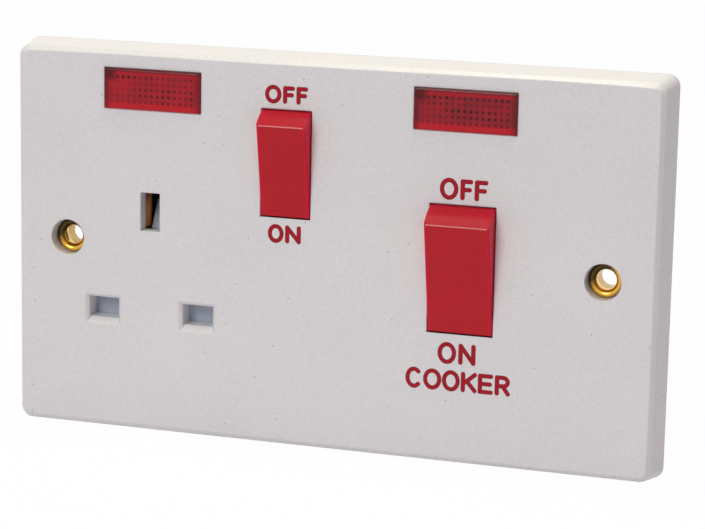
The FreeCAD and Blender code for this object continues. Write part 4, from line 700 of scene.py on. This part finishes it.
# The straight strokes of each letter, on a unit square.
STROKES = {
    "F": [[(0, 0), (0, 1)], [(0, 1), (1, 1)], [(0, 0.5), (0.86, 0.5)]],
    "N": [[(0, 0), (0, 1)], [(0, 1), (1, 0)], [(1, 0), (1, 1)]],
    "K": [[(0, 0), (0, 1)], [(0, 0.38), (1, 1)], [(0.32, 0.58), (1, 0)]],
    "E": [[(0, 0), (0, 1)], [(0, 1), (1, 1)], [(0, 0.5), (0.9, 0.5)], [(0, 0), (1, 0)]],
    "R": [[(0, 0), (0, 1)], [(0.5, 0.47), (1, 0)]],
}


def arc(start, end, centre, across, up):
    """Points of an elliptical arc, angles in degrees."""
    count = max(int(abs(end - start) / DEGREES_A_STEP), 4)
    turns = [math.radians(start + (end - start) * step / count) for step in range(count + 1)]
    return [(centre[0] + across * math.cos(turn), centre[1] + up * math.sin(turn)) for turn in turns]


def glyph(letter):
    """Centre lines of a letter on a unit square, and whether each closes on itself."""
    if letter == "O":
        return [(arc(0, 348, (0.5, 0.5), 0.5, 0.5), True)]
    if letter == "C":
        return [(arc(48, 312, (0.5, 0.5), 0.5, 0.5), False)]
    lines = [(line, False) for line in STROKES[letter]]
    if letter == "R":
        lines.append(([(0, 1)] + arc(90, -90, (0.55, 0.735), 0.42, 0.265) + [(0, 0.47)], False))
    return lines


def add_stroke(shape, name, points, closed, half):
    """Add a round stroke along its centre line, with its cut ends shaded apart from its side."""
    path = bpy.data.curves.new(name, "CURVE")
    path.dimensions = "3D"
    path.bevel_depth = half
    path.bevel_resolution = 3
    path.use_fill_caps = True
    spline = path.splines.new("POLY")
    spline.points.add(len(points) - 1)
    for knot, (x, z) in zip(spline.points, points):
        knot.co = (x, 0, z, 1)
    spline.use_cyclic_u = closed
    drawn = bpy.data.objects.new(name, path)
    tube = bpy.data.meshes.new_from_object(drawn)
    stroke = bmesh.new()
    stroke.from_mesh(tube)
    bmesh.ops.remove_doubles(stroke, verts=stroke.verts[:], dist=1e-4)
    bmesh.ops.recalc_face_normals(stroke, faces=stroke.faces[:])
    for face in stroke.faces:
        face.smooth = len(face.verts) == 4
    rims = [edge for edge in stroke.edges if len({face.smooth for face in edge.link_faces}) == 2]
    bmesh.ops.split_edges(stroke, edges=rims)
    stroke.to_mesh(tube)
    stroke.free()
    shape.from_mesh(tube)
    bpy.data.objects.remove(drawn)
    bpy.data.curves.remove(path)
    bpy.data.meshes.remove(tube)


def word_in_enamel(name, letters, low, high, weight):
    """A word of round strokes, each letter given with its outer left and right edge, in millimetres."""
    half = weight / 2
    shape = bmesh.new()
    for letter, left, right in letters:
        ends = set()
        past = OVERSHOOT if letter in "OC" else 0
        tall = high - low - weight + 2 * past
        for line, closed in glyph(letter):
            points = [(left + half + u * (right - left - weight), low - past + half + v * tall)
                      for u, v in line]
            add_stroke(shape, name, points, closed, half)
            if not closed:
                ends.update((round(x, 4), round(z, 4)) for x, z in (points[0], points[-1]))
        for x, z in sorted(ends):
            ball = bmesh.ops.create_uvsphere(shape, u_segments=16, v_segments=10, radius=half,
                                             matrix=Matrix.Translation((x, 0, z)))["verts"]
            for face in {face for vert in ball for face in vert.link_faces}:
                face.smooth = True
    flat = Matrix.Translation((0, FACE, 0)) @ Matrix.Diagonal((1, PROUD / half, 1, 1))
    bmesh.ops.transform(shape, matrix=Matrix.Scale(0.001, 4) @ flat, verts=shape.verts[:])
    piece = piece_of(shape, name, red_enamel)
    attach(piece, "unit")


word_in_enamel("socket_off", [("O", -14.5, -10.72), ("F", -10.42, -7.72), ("F", -7.4, -4.77)],
               low=32.76, high=36.6, weight=0.98)
word_in_enamel("socket_on", [("O", -13.45, -9.8), ("N", -9.5, -5.9)],
               low=2.65, high=6.6, weight=0.98)
word_in_enamel("cooker_off", [("O", 24.71, 28.8), ("F", 29.2, 31.95), ("F", 32.3, 35.24)],
               low=14.95, high=19.45, weight=1.0)
word_in_enamel("cooker_on", [("O", 25.15, 29.3), ("N", 29.75, 33.55)],
               low=-20.35, high=-15.75, weight=1.0)
word_in_enamel("cooker_word", [("C", 18.17, 22.0), ("O", 22.1, 26.2), ("O", 26.27, 30.27),
                               ("K", 30.45, 34.0), ("E", 34.2, 37.55), ("R", 37.9, 41.3)],
               low=-26.25, high=-21.8, weight=0.98)


# Studio: a painted table under the plate's lower edge, white all round, a large soft lamp in front
# on the left and a smaller one overhead.
TABLE_Z = -0.0432
TABLE_HALF = 3.0
TABLE_WHITE = 0.98


def looked_at(owner):
    """1 for rays from the camera, also in a reflection or through glass, and 0 for the others."""
    rays = add(owner, "ShaderNodeLightPath").outputs
    passed_on = add(owner, "ShaderNodeMath",
                    {0: rays["Is Glossy Ray"], 1: rays["Is Transmission Ray"]}, operation="MAXIMUM")
    seen = add(owner, "ShaderNodeMath", {0: rays["Is Camera Ray"], 1: passed_on.outputs[0]},
               operation="MAXIMUM")
    return seen.outputs[0]


# Matt paint is a flat white on which the plate's soft shadow shows faintly.
matt_paint = bpy.data.materials.new("matt_white_paint")
matt_paint.use_nodes = True
paint = matt_paint.node_tree.nodes["Principled BSDF"]
paint.inputs["Base Color"].default_value = linear("#EDE9F4")
paint.inputs["Roughness"].default_value = 0.9
paint.inputs["Specular IOR Level"].default_value = 0.1
share_white = add(matt_paint, "ShaderNodeMath", {0: looked_at(matt_paint), 1: TABLE_WHITE},
                  operation="MULTIPLY")
glow = add(matt_paint, "ShaderNodeEmission", {"Color": linear("#FFFFFF"), "Strength": 1.0})
painted = add(matt_paint, "ShaderNodeMixShader",
              {0: share_white.outputs[0], 1: paint.outputs[0], 2: glow.outputs[0]})
matt_paint.node_tree.links.new(painted.outputs[0],
                               matt_paint.node_tree.nodes["Material Output"].inputs["Surface"])
table_top = bmesh.new()
bmesh.ops.create_grid(table_top, x_segments=1, y_segments=1, size=TABLE_HALF,
                      matrix=Matrix.Translation((0, 0, TABLE_Z)))
floor = piece_of(table_top, "table", matt_paint)

# A weak fill lights the plate from all sides, while what is looked at is plain white.
scene = bpy.context.scene
world = bpy.data.worlds.new("white_studio")
scene.world = world
world.use_nodes = True
fill = world.node_tree.nodes["Background"]
fill.inputs["Color"].default_value = linear("#F8E8FF")
fill.inputs["Strength"].default_value = 0.175
backdrop = add(world, "ShaderNodeBackground", {"Color": linear("#FFFFFF"), "Strength": 1.0})
all_round = add(world, "ShaderNodeMixShader",
                {0: looked_at(world), 1: fill.outputs[0], 2: backdrop.outputs[0]})
world.node_tree.links.new(all_round.outputs[0],
                          world.node_tree.nodes["World Output"].inputs["Surface"])


def softbox(name, place, size, watts, colour):
    """A square lamp that faces the middle of the plate."""
    lamp = bpy.data.lights.new(name, "AREA")
    lamp.shape = "SQUARE"
    lamp.size = size
    lamp.energy = watts
    lamp.color = linear(colour)[:3]
    holder = bpy.data.objects.new(name, lamp)
    holder.location = place
    holder.rotation_euler = (Vector((0, 0, 0)) - Vector(place)).to_track_quat("-Z", "Y").to_euler()
    scene.collection.objects.link(holder)


softbox("key_softbox", (-0.45, -1.6, 1.15), size=0.8, watts=15.6, colour="#FBFEFB")
softbox("top_softbox", (0.0, 0.0, 0.75), size=0.5, watts=4.3, colour="#FFF7E0")

# The camera stands where it was fitted to the four corners of the plate.
camera_lens = bpy.data.cameras.new("photo_camera")
camera_lens.lens = 135.1
camera_lens.sensor_width = 36.0
camera = bpy.data.objects.new("photo_camera", camera_lens)
camera.location = (0.177645, -0.532539, 0.112760)
camera.rotation_euler = [math.radians(angle) for angle in (78.37090439, -1.10987204, 18.3805229)]
scene.collection.objects.link(camera)
scene.camera = camera
scene.view_settings.view_transform = "Standard"
